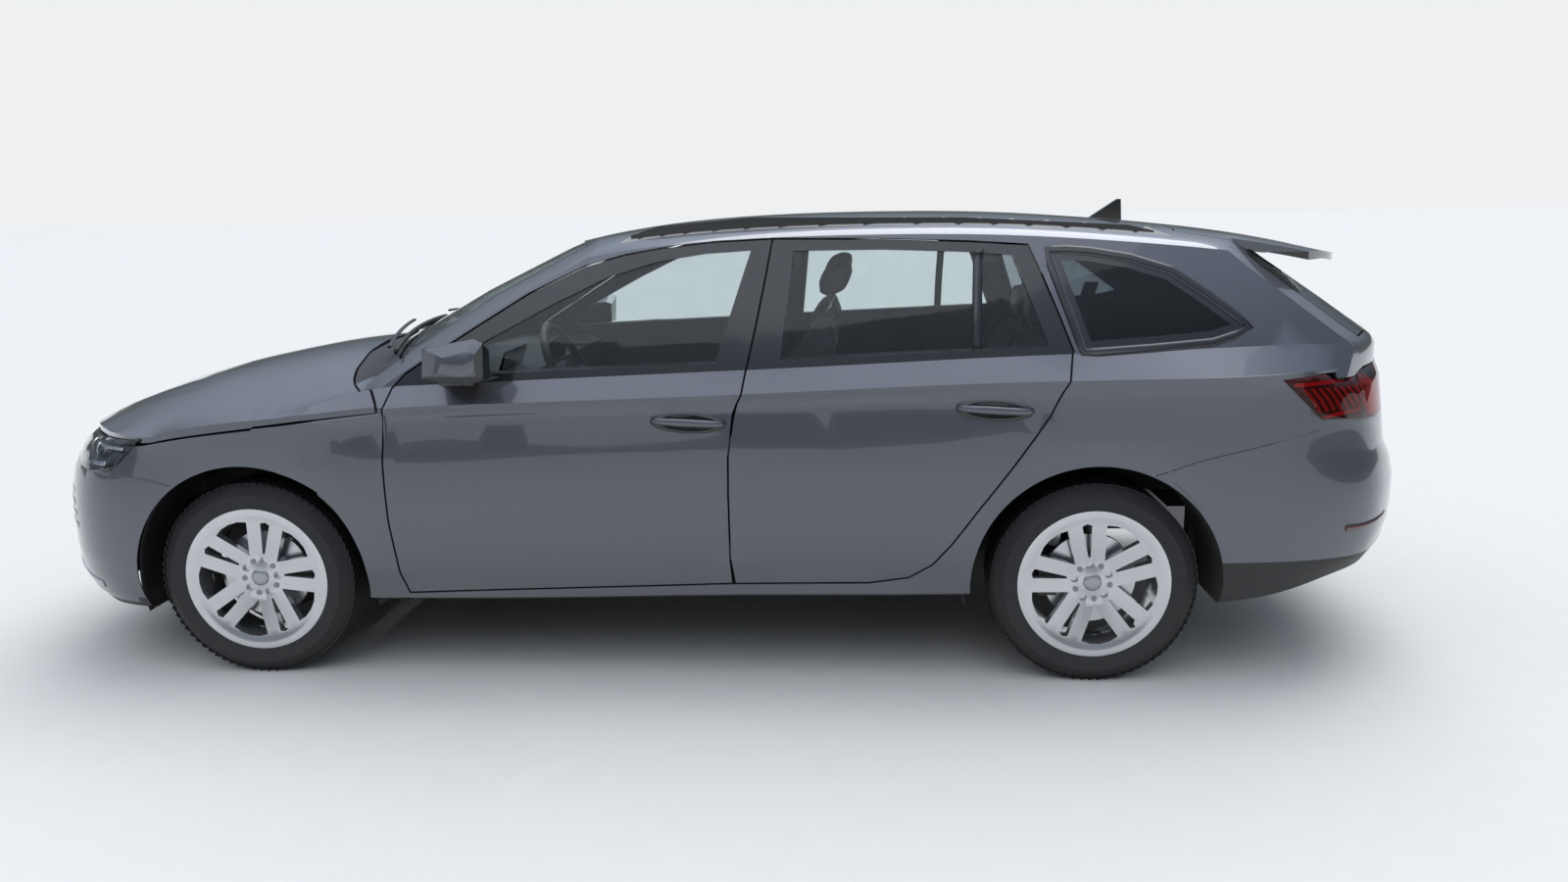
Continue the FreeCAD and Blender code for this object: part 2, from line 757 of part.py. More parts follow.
# Tailgate: its outline is drawn on a plane through the hinge line, leaning
# back at 45 degrees, so that its edges turn clear of the body.
gate_hinge_x = along(1.275)
gate_hinge_z = up(0.972)
gate_outline_shares = [(0.0, 0.6), (0.05, 0.625), (0.16, 0.68), (0.3, 0.72), (0.5, 0.74), (0.56, 0.735),
                       (0.6, 0.6), (0.66, 0.585), (0.93, 0.57), (0.985, 0.53), (1.0, 0.47)]
gate_run = math.hypot(gate_hinge_x - along(1.95), gate_hinge_z - up(0.432))
gate_slope = Vector(along(1.95) - gate_hinge_x, 0, up(0.432) - gate_hinge_z).normalize()
gate_normal = Vector(gate_slope.z, 0, -gate_slope.x)


def gate_prism(gap):
    half = grown([(run * gate_run, out(side)) for run, side in gate_outline_shares]
                 + [(run * gate_run, -out(side)) for run, side in reversed(gate_outline_shares)], gap)
    origin = Vector(gate_hinge_x, 0, gate_hinge_z)
    corners = [origin + gate_slope * run + Vector(0, y, 0) for run, y in half]
    corners = [corner - gate_normal * overrun for corner in corners]
    face = Part.Face(Part.makePolygon(corners + corners[:1]))
    return face.extrude(gate_normal * 2 * overrun)


gate_floor_share = 0.425
gate_step = box(Vector(along(1.86), -width, 0), Vector(along(1.2), width, up(gate_floor_share)))
gate_space = box(Vector(along(1.86) - shut_gap, -width, 0), Vector(along(1.2), width, up(gate_floor_share) + shut_gap))
gate_hole = gate_prism(half_gap).cut(gate_step)
tailgate = body_volume.common(gate_prism(-half_gap).cut(gate_space)).cut(cabin)


# Prism along the car through a front view outline of (height, half width)
# shares, mirrored about the middle.
def face_prism(shares, gap, direction):
    half = [(out(side), up(rise)) for rise, side in shares]
    points = grown(half + [(-y, z) for y, z in reversed(half)], gap)
    corners = [Vector(0, y, z) for y, z in points]
    return Part.Face(Part.makePolygon(corners + corners[:1])).extrude(Vector(direction * length, 0, 0))


rear_glass_shares = [(0.858, 0.56), (0.733, 0.64)]
rear_rake = 34.0
rear_hole = face_prism(rear_glass_shares, 0, -1)
tail_sheet = glass_thickness / math.sin(math.radians(rear_rake))
gate_glass = arch_solid(0, 0).common(face_prism(rear_glass_shares, -seat_clearance, -1))
gate_glass = gate_glass.cut(tail_cutter(skin)).common(tail_cutter(skin + tail_sheet))
tailgate = tailgate.cut(rear_hole)
save("tailgate_window", solids_only(gate_glass))

# Windscreen
screen_outline_shares = [(0.705, 0.4), (0.695, 0.7), (0.69, 0.76), (0.93, 0.6), (0.945, 0.5)]
screen_rake = 28.0
screen_hole = face_prism(screen_outline_shares, 0, 1)
screen_sheet = glass_thickness / math.sin(math.radians(screen_rake))
windscreen = arch_solid(0, 0).common(face_prism(screen_outline_shares, -seat_clearance, 1))
windscreen = windscreen.cut(screen_cutter(0)).common(screen_cutter(screen_sheet))
save("windscreen", solids_only(windscreen))

# Block between two stations, two half width shares and two height shares
def block(rear, front, low_out, high_out, low_up, high_up):
    low = Vector(along(rear), out(low_out), up(low_up))
    return box(low, Vector(along(front), out(high_out), up(high_up)))


# Outline of the hood in plan, and the body below it
hood_rear_shares = [(0.08, 0.0), (0.084, 0.33), (0.096, 0.57), (0.123, 0.81), (0.15, 0.9), (0.176, 1.02)]
hood_turn_gap = 9.0


def hood_plan(gap):
    points = [Vector(along(station) - gap, out(side), up(0.25)) for station, side in hood_rear_shares]
    points = [Vector(p.x, -p.y, p.z) for p in points[:0:-1]] + points
    front = half_length + overrun
    corners = [points[-1], Vector(front, points[-1].y, up(0.25)), Vector(front, points[0].y, up(0.25)), points[0]]
    edges = [curve_through(points)]
    edges += [Part.makeLine(first, second) for first, second in zip(corners, corners[1:])]
    return Part.Face(Part.Wire(edges)).extrude(Vector(0, 0, up(0.6)))


def hood_under(drop):
    lowered = shoulder.copy()
    lowered.translate(Vector(0, 0, -drop))
    return hood_block(drop, up(0.35)).fuse(lowered)


hood_side_inset = skin + shut_gap / 2
hood = body_volume.common(hood_plan(0)).common(crease_prism(hood_side_inset))
hood = largest(hood.cut(hood_under(hood_thickness)))
save("hood", hood)
hood_room = hood_plan(hood_turn_gap).cut(hood_under(hood_thickness + shut_gap))

# Fenders: the skin between the front doors, the lamps and the bumper
left_arch_cuts = arch_cone(front_axle_x, front_well_y).fuse(arch_cone(rear_axle_x, rear_well_y))
body_skin = wrap_layer(0, skin, False).cut(left_arch_cuts)
skin_room = wrap_layer(-skin, skin + seat_clearance, True)
door_line = grown(front_door_outline, half_gap)
fender_shares = [(-0.364, 0.7), (-0.364, 0.538), (-0.505, 0.455), (-0.498, 0.4545), (-0.26, 0.4355),
                 (-0.26, 0.02)]
fender_line = [(x, z) for x, z in door_line[:8]]
fender_outline = spots(fender_shares) + [(fender_line[0][0], up(0.02))] + fender_line
fender_prism = side_prism(fender_outline, out(0.5), door_outer_y)
fender_room = side_prism(grown(fender_outline, seat_clearance), out(0.5), door_outer_y)
fender = largest(body_skin.common(fender_prism).cut(hood_room))
save("front_fenders", both(fender))

# Headlamps and tail lamps: thick wedges that fill the corners
lamp_depth = 70.0
headlamp_shares = [(-0.364, 0.7), (-0.364, 0.538), (-0.505, 0.455), (-0.673, 0.4605), (-0.807, 0.467),
                   (-0.98, 0.4765), (-1.05, 0.48), (-1.05, 0.7)]
headlamp_inner_y = out(0.46)
headlamp_prism = side_prism(grown(spots(headlamp_shares), -seat_clearance), headlamp_inner_y, door_outer_y)
headlamp_room = side_prism(grown(spots(headlamp_shares), seat_clearance), headlamp_inner_y - seat_clearance,
                           door_outer_y)
lamp_body = wrap_layer(0, lamp_depth, False)
lamp_room = wrap_layer(-skin, lamp_depth + seat_clearance, True)
lamp_top_room = hood_room.common(crease_prism(skin))
headlamp = largest(lamp_body.common(headlamp_prism).cut(lamp_top_room))
save("headlamps", both(headlamp))
tail_lamp_shares = [(1.474, 0.6545), (1.6, 0.662), (1.72, 0.6665), (1.97, 0.668), (1.97, 0.54), (1.709, 0.5645),
                    (1.595, 0.569)]
tail_lamp_prism = side_prism(spots(tail_lamp_shares), out(0.3), door_outer_y)
tail_lamp_room = side_prism(grown(spots(tail_lamp_shares), seat_clearance), out(0.3), door_outer_y)
tail_lamp = lamp_body.common(tail_lamp_prism)
gate_room = gate_prism(half_gap)
gate_form = gate_prism(-half_gap)
body_lamp = solids_only(tail_lamp.cut(gate_room))
save("tail_lamps", both(body_lamp))
gate_lamp = solids_only(tail_lamp.common(gate_form))
save("tailgate_lamps", both(gate_lamp))

# Front bumper with the grille opening and the intake below it
grille_shares = [(0.385, 0.42), (0.44, 0.455), (0.497, 0.445)]
intake_shares = [(0.2, 0.66), (0.235, 0.63), (0.315, 0.56), (0.345, 0.5)]
grille_hole = face_prism(grille_shares, 0, 1)
intake_hole = face_prism(intake_shares, 0, 1)
bumper_line = box(Vector(along(-0.26), -width, 0), Vector(half_length + overrun, width, height))
front_bumper = body_skin.common(bumper_line).cut(fender_room).cut(headlamp_room)
front_bumper = whole(largest(front_bumper.cut(grille_hole).cut(intake_hole)))
save("front_bumper", front_bumper)

grille_depth = 17.0
slat_depth = 9.0
slat_height = 16.0
slat_pitch = 41.0
grille_sheet = wrap_layer(skin + seat_clearance, skin + grille_depth, False)
slot_layer = wrap_layer(-skin, skin + slat_depth, True)


def grille_panel(shares):
    panel = grille_sheet.common(face_prism(shares, 2 * skin, 1))
    window = face_prism(shares, -2 * skin, 1)
    strips = []
    low = window.BoundBox.ZMin
    while low < window.BoundBox.ZMax:
        strip = box(Vector(0, -width, low), Vector(length, width, low + slat_pitch - slat_height))
        strips.append(window.common(strip).common(slot_layer))
        low += slat_pitch
    return whole(largest(panel.cut(strips).cut(hood_room)))


save("grille", Part.makeCompound([grille_panel(grille_shares), grille_panel(intake_shares)]))

# Rear bumper: the skin below the tail lamps, as deep as its own panel
rear_bumper_top_shares = [(1.05, 0.46), (1.146, 0.46), (1.252, 0.4885), (1.369, 0.51), (1.588, 0.5465),
                          (1.709, 0.56), (1.97, 0.5355), (2.1, 0.53)]
rear_bumper_outline = spots(rear_bumper_top_shares) + spots([(2.1, 0.05), (1.05, 0.05)])
rear_bumper_prism = side_prism(rear_bumper_outline, -width, width)
rear_bumper_room = side_prism(grown(rear_bumper_outline, seat_clearance), -width, width)
behind_arch = box(Vector(-length, -width, 0), Vector(rear_axle_x - arch_radius / 2, width, height))
rear_bumper = body_skin.common(behind_arch).common(rear_bumper_prism)
rear_bumper = whole(largest(rear_bumper.cut(gate_room)))
save("rear_bumper", rear_bumper)

# Unibody shell
firewall_x = along(0.093)
front_room = box(Vector(firewall_x, -width, 0), Vector(half_length + overrun, width, up(0.9)))
shell = body_volume.cut(cabin)
pillar_solid = body_volume.common(pillar_prism).cut(cabin).common(flange_volume)
shell = shell.cut(both(front_hole)).cut(both(rear_hole_side))
shell = shell.fuse(both(pillar_solid))
shell = shell.cut(both(quarter_window)).cut(gate_hole)
shell = shell.cut(screen_hole.common(screen_cutter(2 * screen_wall)))
shell = shell.cut(front_room).cut(hood_room)
left_cuts = [fender_room.common(skin_room), rear_bumper_room.common(behind_arch).common(skin_room),
             tail_lamp_room.common(lamp_room)]
for left_cut in left_cuts:
    shell = largest(shell.cut(left_cut).cut(mirrored(left_cut)))
under_rooms = block(1.32, 0.9, -0.68, 0.68, 0.1, 0.385).fuse([
    block(1.78, 1.3, -0.6, 0.6, 0.1, 0.385), block(0.91, 0.8, -0.68, 0.68, 0.1, 0.24),
    block(0.79, 0.7, -0.45, 0.45, 0.1, 0.225), block(0.91, 0.09, -0.14, 0.14, 0.1, 0.215)])
shell = shell.cut(under_rooms)
pad_inner = out(0.9)
pad_outer = out(0.955)
pad_height = up(0.04)


# Hinge pads that stand on the pillar and meet the front edge of a door
def hinge_pads(outline, rear_points, spots_list):
    ring = door_plug(outline, rear_points, half_gap + 1).cut(
        door_plug(outline, rear_points, seat_clearance - half_gap))
    pads = []
    for station, rise in spots_list:
        low = Vector(along(station) - 2 * shut_gap, pad_inner, up(rise))
        pads.append(box(low, Vector(along(station) + 3 * shut_gap, pad_outer, up(rise) + pad_height)))
    return ring.common(Part.makeCompound(pads))


front_pads = hinge_pads(front_door_outline, front_rear_points, [(0.176, 0.27), (0.176, 0.5)])
rear_pads = hinge_pads(rear_door_outline, rear_rear_points, [(0.579, 0.27), (0.58, 0.5)])
hood_pad = box(Vector(along(0.14), out(0.8), up(0.55)), Vector(along(0.115), out(0.84), height))
hood_pad = hood_pad.common(hood_under(hood_thickness + seat_clearance)).cut(hood_under(hood_thickness + 2 * shut_gap))
shell = shell.fuse([both(front_pads), both(rear_pads), both(hood_pad)])
shell = solids_only(shell)
save("body_shell", shell)
tailgate = tailgate.cut(both(tail_lamp_room.common(lamp_room)))

# Spoiler that carries the roof on beyond the tailgate window
spoiler_shares = [(1.62, 0.62), (1.7, 0.5), (1.79, 0.3), (1.815, 0.0)]
spoiler_wall = 24.0
spoiler_points = [Vector(along(station), out(side), up(0.8)) for station, side in spoiler_shares]
spoiler_points += [Vector(p.x, -p.y, p.z) for p in reversed(spoiler_points[:-1])]
spoiler_edges = [curve_through(spoiler_points)]
spoiler_root = [Vector(along(1.3), -out(0.62), up(0.8)), Vector(along(1.3), out(0.62), up(0.8))]
spoiler_edges += [Part.makeLine(spoiler_points[-1], spoiler_root[0]), Part.makeLine(*spoiler_root),
                  Part.makeLine(spoiler_root[1], spoiler_points[0])]
spoiler_prism = Part.Face(Part.Wire(spoiler_edges)).extrude(Vector(0, 0, up(0.25)))
spoiler = arch_solid(0, 0).cut(arch_solid(spoiler_wall, spoiler_wall)).common(spoiler_prism).common(tail_plane)
tailgate = tailgate.fuse(solids_only(spoiler))
tailgate = solids_only(tailgate)
save("tailgate", tailgate)


# Structure in front of the firewall: rails, upper rails, strut towers, the
# crash beam and the frame that holds the radiator and the lamps
rail_front = along(-0.72)
firewall_seat = firewall_x + seat_clearance
strut_top = Vector(front_axle_x, out(0.63), up(0.545))
strut_foot = Vector(front_axle_x, out(0.755), up(0.136))
strut_line = (strut_top - strut_foot).normalize()
tower_radius = 84.0
tower_wall = 14.0
rail_low = up(0.262)
rail_high = up(0.33)
rail_inner = out(0.44)
rail_outer = out(0.505)
rail = box(Vector(firewall_seat, rail_inner, rail_low), Vector(rail_front, rail_outer, rail_high))
upper_low = up(0.47)
upper_high = up(0.505)
upper_rail = box(Vector(firewall_seat, out(0.7), upper_low), Vector(along(-0.63), out(0.745), upper_high))
tower_base = strut_top - strut_line * up(0.085)
upper_rail = upper_rail.cut(rod(tower_base - strut_line * tower_radius, strut_top, tower_radius - tower_wall))
tower = rod(tower_base, strut_top, tower_radius)
tower = tower.cut(rod(tower_base - strut_line, strut_top - strut_line * tower_wall, tower_radius - tower_wall))
tower_web = box(Vector(front_axle_x - tower_radius, rail_inner, rail_high),
                Vector(front_axle_x + tower_radius, out(0.53), up(0.47)))
tower_shelf = box(Vector(front_axle_x - tower_radius, rail_inner, up(0.455)),
                  Vector(front_axle_x + tower_radius, out(0.72), up(0.49)))
tower_shelf = tower_shelf.cut(rod(tower_base - strut_line * tower_radius, strut_top, tower_radius - tower_wall))
side_frame = rail.fuse([upper_rail, tower, tower_web, tower_shelf])
brace = box(Vector(along(-0.63), rail_inner, rail_low), Vector(along(-0.58), out(0.745), upper_high))
side_frame = side_frame.fuse(brace)
crash_beam = box(Vector(rail_front, -out(0.6), rail_low), Vector(along(-0.77), out(0.6), rail_high))
radiator_frame = box(Vector(along(-0.63), -rail_outer, up(0.15)), Vector(along(-0.58), rail_outer, upper_high))
radiator_hole = box(Vector(along(-1), -out(0.4), up(0.19)), Vector(along(0), out(0.4), up(0.465)))
structure = side_frame.fuse([mirrored(side_frame), crash_beam, radiator_frame.cut(radiator_hole)])
lamp_arm = box(Vector(along(-0.6), out(0.58), up(0.48)), Vector(along(-1), out(0.66), upper_high))
lamp_arm = lamp_arm.common(wrap_solid(lamp_depth + seat_clearance))
bumper_arm = box(Vector(rail_front, out(0.3), up(0.27)), Vector(along(-1), out(0.36), up(0.31)))
grille_back = wrap_solid(skin + grille_depth + seat_clearance)
bumper_arm = bumper_arm.fuse(box(Vector(rail_front, out(0.2), rail_high), Vector(along(-0.77), out(0.26), up(0.43))))
bumper_arm = bumper_arm.fuse(box(Vector(rail_front, out(0.2), up(0.4)), Vector(along(-1), out(0.26), up(0.43))))
intake_arm = box(Vector(rail_front, out(0.3), up(0.24)), Vector(along(-1), out(0.36), up(0.33)))
bumper_arm = bumper_arm.fuse(intake_arm).common(grille_back)
structure = structure.fuse([lamp_arm, mirrored(lamp_arm), bumper_arm, mirrored(bumper_arm)])
lamp_space = headlamp_room.common(lamp_room)
structure = structure.cut([lamp_space, mirrored(lamp_space)])
save("front_structure", solids_only(structure))

radiator = box(Vector(along(-0.59), -out(0.4) + seat_clearance, up(0.19) + seat_clearance),
               Vector(along(-0.62), out(0.4) - seat_clearance, up(0.465) - seat_clearance))
save("radiator", radiator)
engine = block(0.02, -0.4, -0.41, 0.41, 0.14, 0.53)
save("engine_block", engine)

# Front subframe with the lower arms, and the steering rack
cross_member = block(0.07, -0.02, -0.44, 0.44, 0.115, 0.135)
posts = both(block(0.06, 0.02, 0.445, 0.5, 0.115, 0.262).cut(rail))
arm_low = up(0.115)
arm_points = [(-0.12, 0.42), (-0.03, 0.755), (0.011, 0.755), (0.07, 0.42)]
arm_corners = [Vector(along(station), out(side), arm_low) for station, side in arm_points]
arm = Part.Face(Part.makePolygon(arm_corners + arm_corners[:1])).extrude(Vector(0, 0, up(0.019)))
subframe = cross_member.fuse([arm, mirrored(arm), posts])
rack = rod(Vector(along(0.05), -out(0.4), up(0.15)), Vector(along(0.05), out(0.4), up(0.15)), up(0.022))
subframe = solids_only(subframe.fuse(rack).cut(both(rail)))
save("front_subframe", subframe)


# Wheels, drawn about the Y axis with the outer side towards +Y
def revolved(profile):
    corners = [Vector(radius, y, 0) for radius, y in profile]
    face = Part.Face(Part.makePolygon(corners + corners[:1]))
    return face.revolve(Vector(0, 0, 0), Vector(0, 1, 0), 360)


tyre_shares = [(0.7385, 0.9), (0.875, 1.0), (1.0, 0.7)]
half_tyre = tyre_width / 2
half_rim = rim_width / 2


def shaped(shares, radius, half):
    return [(radius * r_share, half * y_share) for r_share, y_share in shares]


outer_side = shaped(tyre_shares, tyre_radius, half_tyre)
tyre_profile = [(r, -y) for r, y in outer_side] + outer_side[::-1]
tyre = revolved(tyre_profile)

rim_shares = [
    (1.0, -1.0), (0.94, -0.85), (0.873, -0.3), (0.873, 0.43), (0.94, 0.85), (1.0, 1.0), (0.93, 1.0),
    (0.84, 0.93), (0.25, 0.66), (0.12, 0.72), (0.003, 0.75), (0.003, 0.59), (0.0645, 0.59), (0.0645, 0.48),
    (0.3, 0.48), (0.835, 0.6), (0.835, -0.4), (0.93, -1.0),
]
rim_body = revolved(shaped(rim_shares, rim_radius, half_rim))
window_ring_shares = [(0.33, 0.0), (0.81, -17.5), (0.835, -9.0), (0.84, 0.0), (0.835, 9.0), (0.81, 17.5)]
slot_ring_shares = [(0.34, -2.5), (0.8, -4.6), (0.825, 0.0), (0.8, 4.6), (0.34, 2.5)]
lug_radius = 13.0
lug_floor_share = 0.55
disc_radius = 144.0
disc_thickness = 22.0
hat_radius = 74.0
spindle_radius = 15.0


def ring_prism(shares, turn):
    corners = []
    for r_share, angle in shares:
        around = math.radians(angle + turn)
        corners.append(Vector(rim_radius * r_share * math.sin(around), hat_radius * 0.1, rim_radius * r_share * math.cos(around)))
    return Part.Face(Part.makePolygon(corners + corners[:1])).extrude(Vector(0, rim_width, 0))


cuts = []
for spoke in range(spoke_count):
    turn = 360 / spoke_count * spoke
    cuts.append(ring_prism(slot_ring_shares, turn))
    cuts.append(ring_prism(window_ring_shares, turn + 180 / spoke_count))
    around = math.radians(turn)
    lug = Vector(bolt_circle / 2 * math.sin(around), half_rim * lug_floor_share, bolt_circle / 2 * math.cos(around))
    cuts.append(rod(lug, lug + Vector(0, rim_width, 0), lug_radius))
rim_face = rim_body.cut(Part.makeCompound(cuts))
hub_seat = half_rim * 0.48
disc = rod(Vector(0, 0, 0), Vector(0, disc_thickness, 0), disc_radius)
hat = rod(Vector(0, 0, 0), Vector(0, hub_seat, 0), hat_radius)
spindle_bore = rod(Vector(0, -seat_clearance, 0), Vector(0, half_rim * 0.59, 0), spindle_radius + seat_clearance)
rim = solids_only(rim_face.fuse([disc, hat]).cut(spindle_bore))


def placed(shape, x, turn):
    moved = shape.copy()
    moved.rotate(Vector(0, 0, 0), Vector(0, 1, 0), turn)
    moved.translate(Vector(x, wheel_y, tyre_radius))
    return moved


front_turn = -13.0
rear_turn = 8.0
for side_name, mirror in (("left", False), ("right", True)):
    for place, x, turn in (("front", front_axle_x, front_turn), ("rear", rear_axle_x, rear_turn)):
        for name, shape in (("tyre", tyre), ("rim", rim)):
            piece = placed(shape, x, turn)
            save(name + "_" + place + "_" + side_name, mirrored(piece) if mirror else piece)

# Front knuckle: hub, spindle, upright, caliper and strut. It turns on the line
# from the ball joint in the lower arm to the strut's top.
hub_inner = wheel_y - half_rim * 0.7
hub_radius = 44.0
wheel_centre = Vector(front_axle_x, wheel_y, tyre_radius)


def at_wheel(x, y, z):
    return wheel_centre + Vector(x, y, z)


def hub_with(centre_x, caliper_side):
    centre = Vector(centre_x, wheel_y, tyre_radius)
    carrier = rod(centre + Vector(0, -half_rim * 0.66, 0), centre - Vector(0, seat_clearance, 0), hub_radius)
    spindle = rod(centre - Vector(0, half_rim * 0.66, 0), centre + Vector(0, half_rim * 0.57, 0), spindle_radius)
    reach = disc_radius + 20 * caliper_side * caliper_side
    caliper = box(centre + Vector(caliper_side * disc_radius * 0.72, -half_rim * 0.5, -hub_radius * 1.2),
                  centre + Vector(caliper_side * reach, half_rim * 0.44, hub_radius * 1.2))
    groove = rod(centre - Vector(0, shut_gap / 4, 0), centre + Vector(0, disc_thickness + shut_gap / 4, 0),
                 disc_radius + shut_gap / 2)
    arm = box(centre + Vector(0, -half_rim * 0.66, -hub_radius * 0.6),
              centre + Vector(caliper_side * disc_radius, -half_rim * 0.4, hub_radius * 0.6))
    return carrier.fuse([spindle, caliper.cut(groove), arm])


ball_radius = 17.0
strut_radius = 24.0
spring_radius = 50.0
strut_run = (strut_top - strut_foot).Length
upright = box(Vector(front_axle_x - strut_radius, out(0.69), strut_foot.z + ball_radius / 2),
              Vector(front_axle_x + strut_radius, out(0.775), up(0.29)))
strut_tube = rod(strut_foot + strut_line * strut_run * 0.33,
                 strut_top - strut_line * (tower_wall + seat_clearance), strut_radius)
spring = rod(strut_foot + strut_line * strut_run * 0.775,
             strut_top - strut_line * (tower_wall + shut_gap / 2), spring_radius)
ball = rod(strut_foot - strut_line * ball_radius, strut_foot + strut_line * ball_radius, ball_radius)
knuckle = hub_with(front_axle_x, -1).fuse([upright, strut_tube, spring, ball])
knuckle = solids_only(knuckle)
save("knuckle_left", knuckle)
save("knuckle_right", mirrored(knuckle))
socket = rod(strut_foot - strut_line * 2 * ball_radius, strut_foot + strut_line * 2 * ball_radius,
             ball_radius + seat_clearance)
subframe = solids_only(subframe.cut(both(socket)))
save("front_subframe", subframe)

# Rear axle: a beam with trailing arms, springs, hubs and calipers
beam = rod(Vector(along(0.955), -out(0.66), up(0.238)), Vector(along(0.955), out(0.66), up(0.238)), up(0.022))
rear_side = hub_with(rear_axle_x, 1)
trail = block(1.03, 0.8, 0.6, 0.66, 0.195, 0.24)
trail = trail.common(box(Vector(-length, 0, 0), Vector(along(0.8) - seat_clearance, width, height)))
carrier_plate = block(1.03, 0.98, 0.6, 0.78, 0.17, 0.255)
rear_spring = rod(Vector(along(1.0), out(0.6), up(0.21)), Vector(along(1.0), out(0.6), up(0.385) - seat_clearance),
                  up(0.034))
rear_side = rear_side.fuse([trail, carrier_plate, rear_spring])
rear_axle = solids_only(beam.fuse([rear_side, mirrored(rear_side)]))
save("rear_axle", rear_axle)

# Fuel tank and exhaust
tank = box(Vector(along(0.785), out(0.01), up(0.14)), Vector(along(0.705), out(0.44), up(0.225) - seat_clearance))
save("fuel_tank", tank)
pipe_y = -out(0.05)
pipe_z = up(0.185)
pipe_radius = up(0.017)
pipe = rod(Vector(along(0.12), pipe_y, pipe_z), Vector(along(1.42), pipe_y, pipe_z), pipe_radius)
muffler = block(1.66, 1.4, -0.5, 0.02, 0.165, 0.24)
hanger = block(1.6, 1.59, -0.3, -0.27, 0.23, 0.385)
hanger = hanger.common(box(Vector(-length, -width, 0), Vector(length, width, up(0.385) - seat_clearance)))
front_hanger = block(0.4, 0.395, -0.06, -0.04, 0.19, 0.215)
front_hanger = front_hanger.common(box(Vector(-length, -width, 0), Vector(length, width, up(0.215) - seat_clearance)))
exhaust = solids_only(pipe.fuse([muffler, hanger, front_hanger]))
save("exhaust", exhaust)

# Cabin: dashboard, seats and steering wheel
inside = cabin_solid(body_wall + seat_clearance, roof_wall + shut_gap, roof_wall + shut_gap, -seat_clearance)
dash_side = out(0.835)
dash_shares = [(0.1252, 0.56), (0.1252, 0.635), (0.19, 0.652), (0.26, 0.65), (0.3, 0.63), (0.305, 0.58),
               (0.28, 0.5), (0.24, 0.42), (0.16, 0.4)]
dashboard = side_prism(spots(dash_shares), -dash_side, dash_side)
console = block(0.62, 0.24, -0.13, 0.13, 0.2455, 0.44)
console = console.common(box(Vector(-length, -width, up(0.245) + seat_clearance), Vector(length, width, height)))
column_centre = Vector(along(0.352), out(0.4), up(0.628))
column_lean = 24.0
column_line = Vector(-math.cos(math.radians(column_lean)), 0, math.sin(math.radians(column_lean)))
wheel_ring = 182.0
wheel_grip = 15.0
column_radius = 26.0
column = rod(column_centre - column_line * wheel_ring, column_centre - column_line * (2 * wheel_grip + seat_clearance),
             column_radius)
dashboard = dashboard.fuse([console, column]).common(inside).cut(hood_room)
dashboard = largest(dashboard.cut(shell))
save("dashboard", dashboard)
grip_sides = 6
side_line = Vector(0, 1, 0)
grip_points = []
for side in range(grip_sides):
    around = math.radians(360 / grip_sides * side)
    spot = column_centre + side_line * (wheel_ring + wheel_grip * math.cos(around))
    grip_points.append(spot + column_line * wheel_grip * math.sin(around))
grip_face = Part.Face(Part.makePolygon(grip_points + grip_points[:1]))
ring = grip_face.revolve(column_centre, column_line, 360)
hub = rod(column_centre - column_line * 2 * wheel_grip, column_centre + column_line * wheel_grip / 2, 2 * column_radius)
spokes = []
across = Vector(0, 1, 0)
upward = column_line.cross(across)
for direction in (across, across * (-1), upward if upward.z < 0 else upward * (-1)):
    spokes.append(rod(column_centre, column_centre + direction * wheel_ring, wheel_grip * 0.8))
steering = solids_only(ring.fuse([hub] + spokes))
save("steering_wheel", steering)

cushion_shares = [(0.43, 0.29), (0.42, 0.33), (0.425, 0.375), (0.46, 0.4), (0.6, 0.385), (0.655, 0.4),
                  (0.655, 0.3)]
back_shares = [(0.585, 0.4), (0.655, 0.39), (0.675, 0.55), (0.71, 0.74), (0.7, 0.785), (0.68, 0.78), (0.62, 0.6)]
head_shares = [(0.675, 0.81), (0.69, 0.805), (0.715, 0.82), (0.725, 0.89), (0.705, 0.895), (0.685, 0.88)]


def seat(cushion_points, back_points, head_points, low_y, high_y, head_inset, floor_z, leg_x):
    cushion = side_prism(spots(cushion_points), low_y, high_y)
    back = side_prism(spots(back_points), low_y, high_y)
    head_rest = side_prism(spots(head_points), low_y + head_inset, high_y - head_inset)
    middle = (low_y + high_y) / 2
    stem_x = (spots(head_points)[0][0] + spots(head_points)[2][0]) / 2
    stem = box(Vector(stem_x - wheel_grip, middle - 4 * wheel_grip, spots(back_points)[4][1] - 3 * wheel_grip),
               Vector(stem_x, middle + 4 * wheel_grip, spots(head_points)[1][1] + wheel_grip))
    leg_top = spots(cushion_points)[0][1] + wheel_grip
    legs = box(Vector(along(leg_x[0]), low_y + 2 * wheel_grip, floor_z),
               Vector(along(leg_x[1]), high_y - 2 * wheel_grip, leg_top))
    return cushion.fuse([back, head_rest, stem, legs])


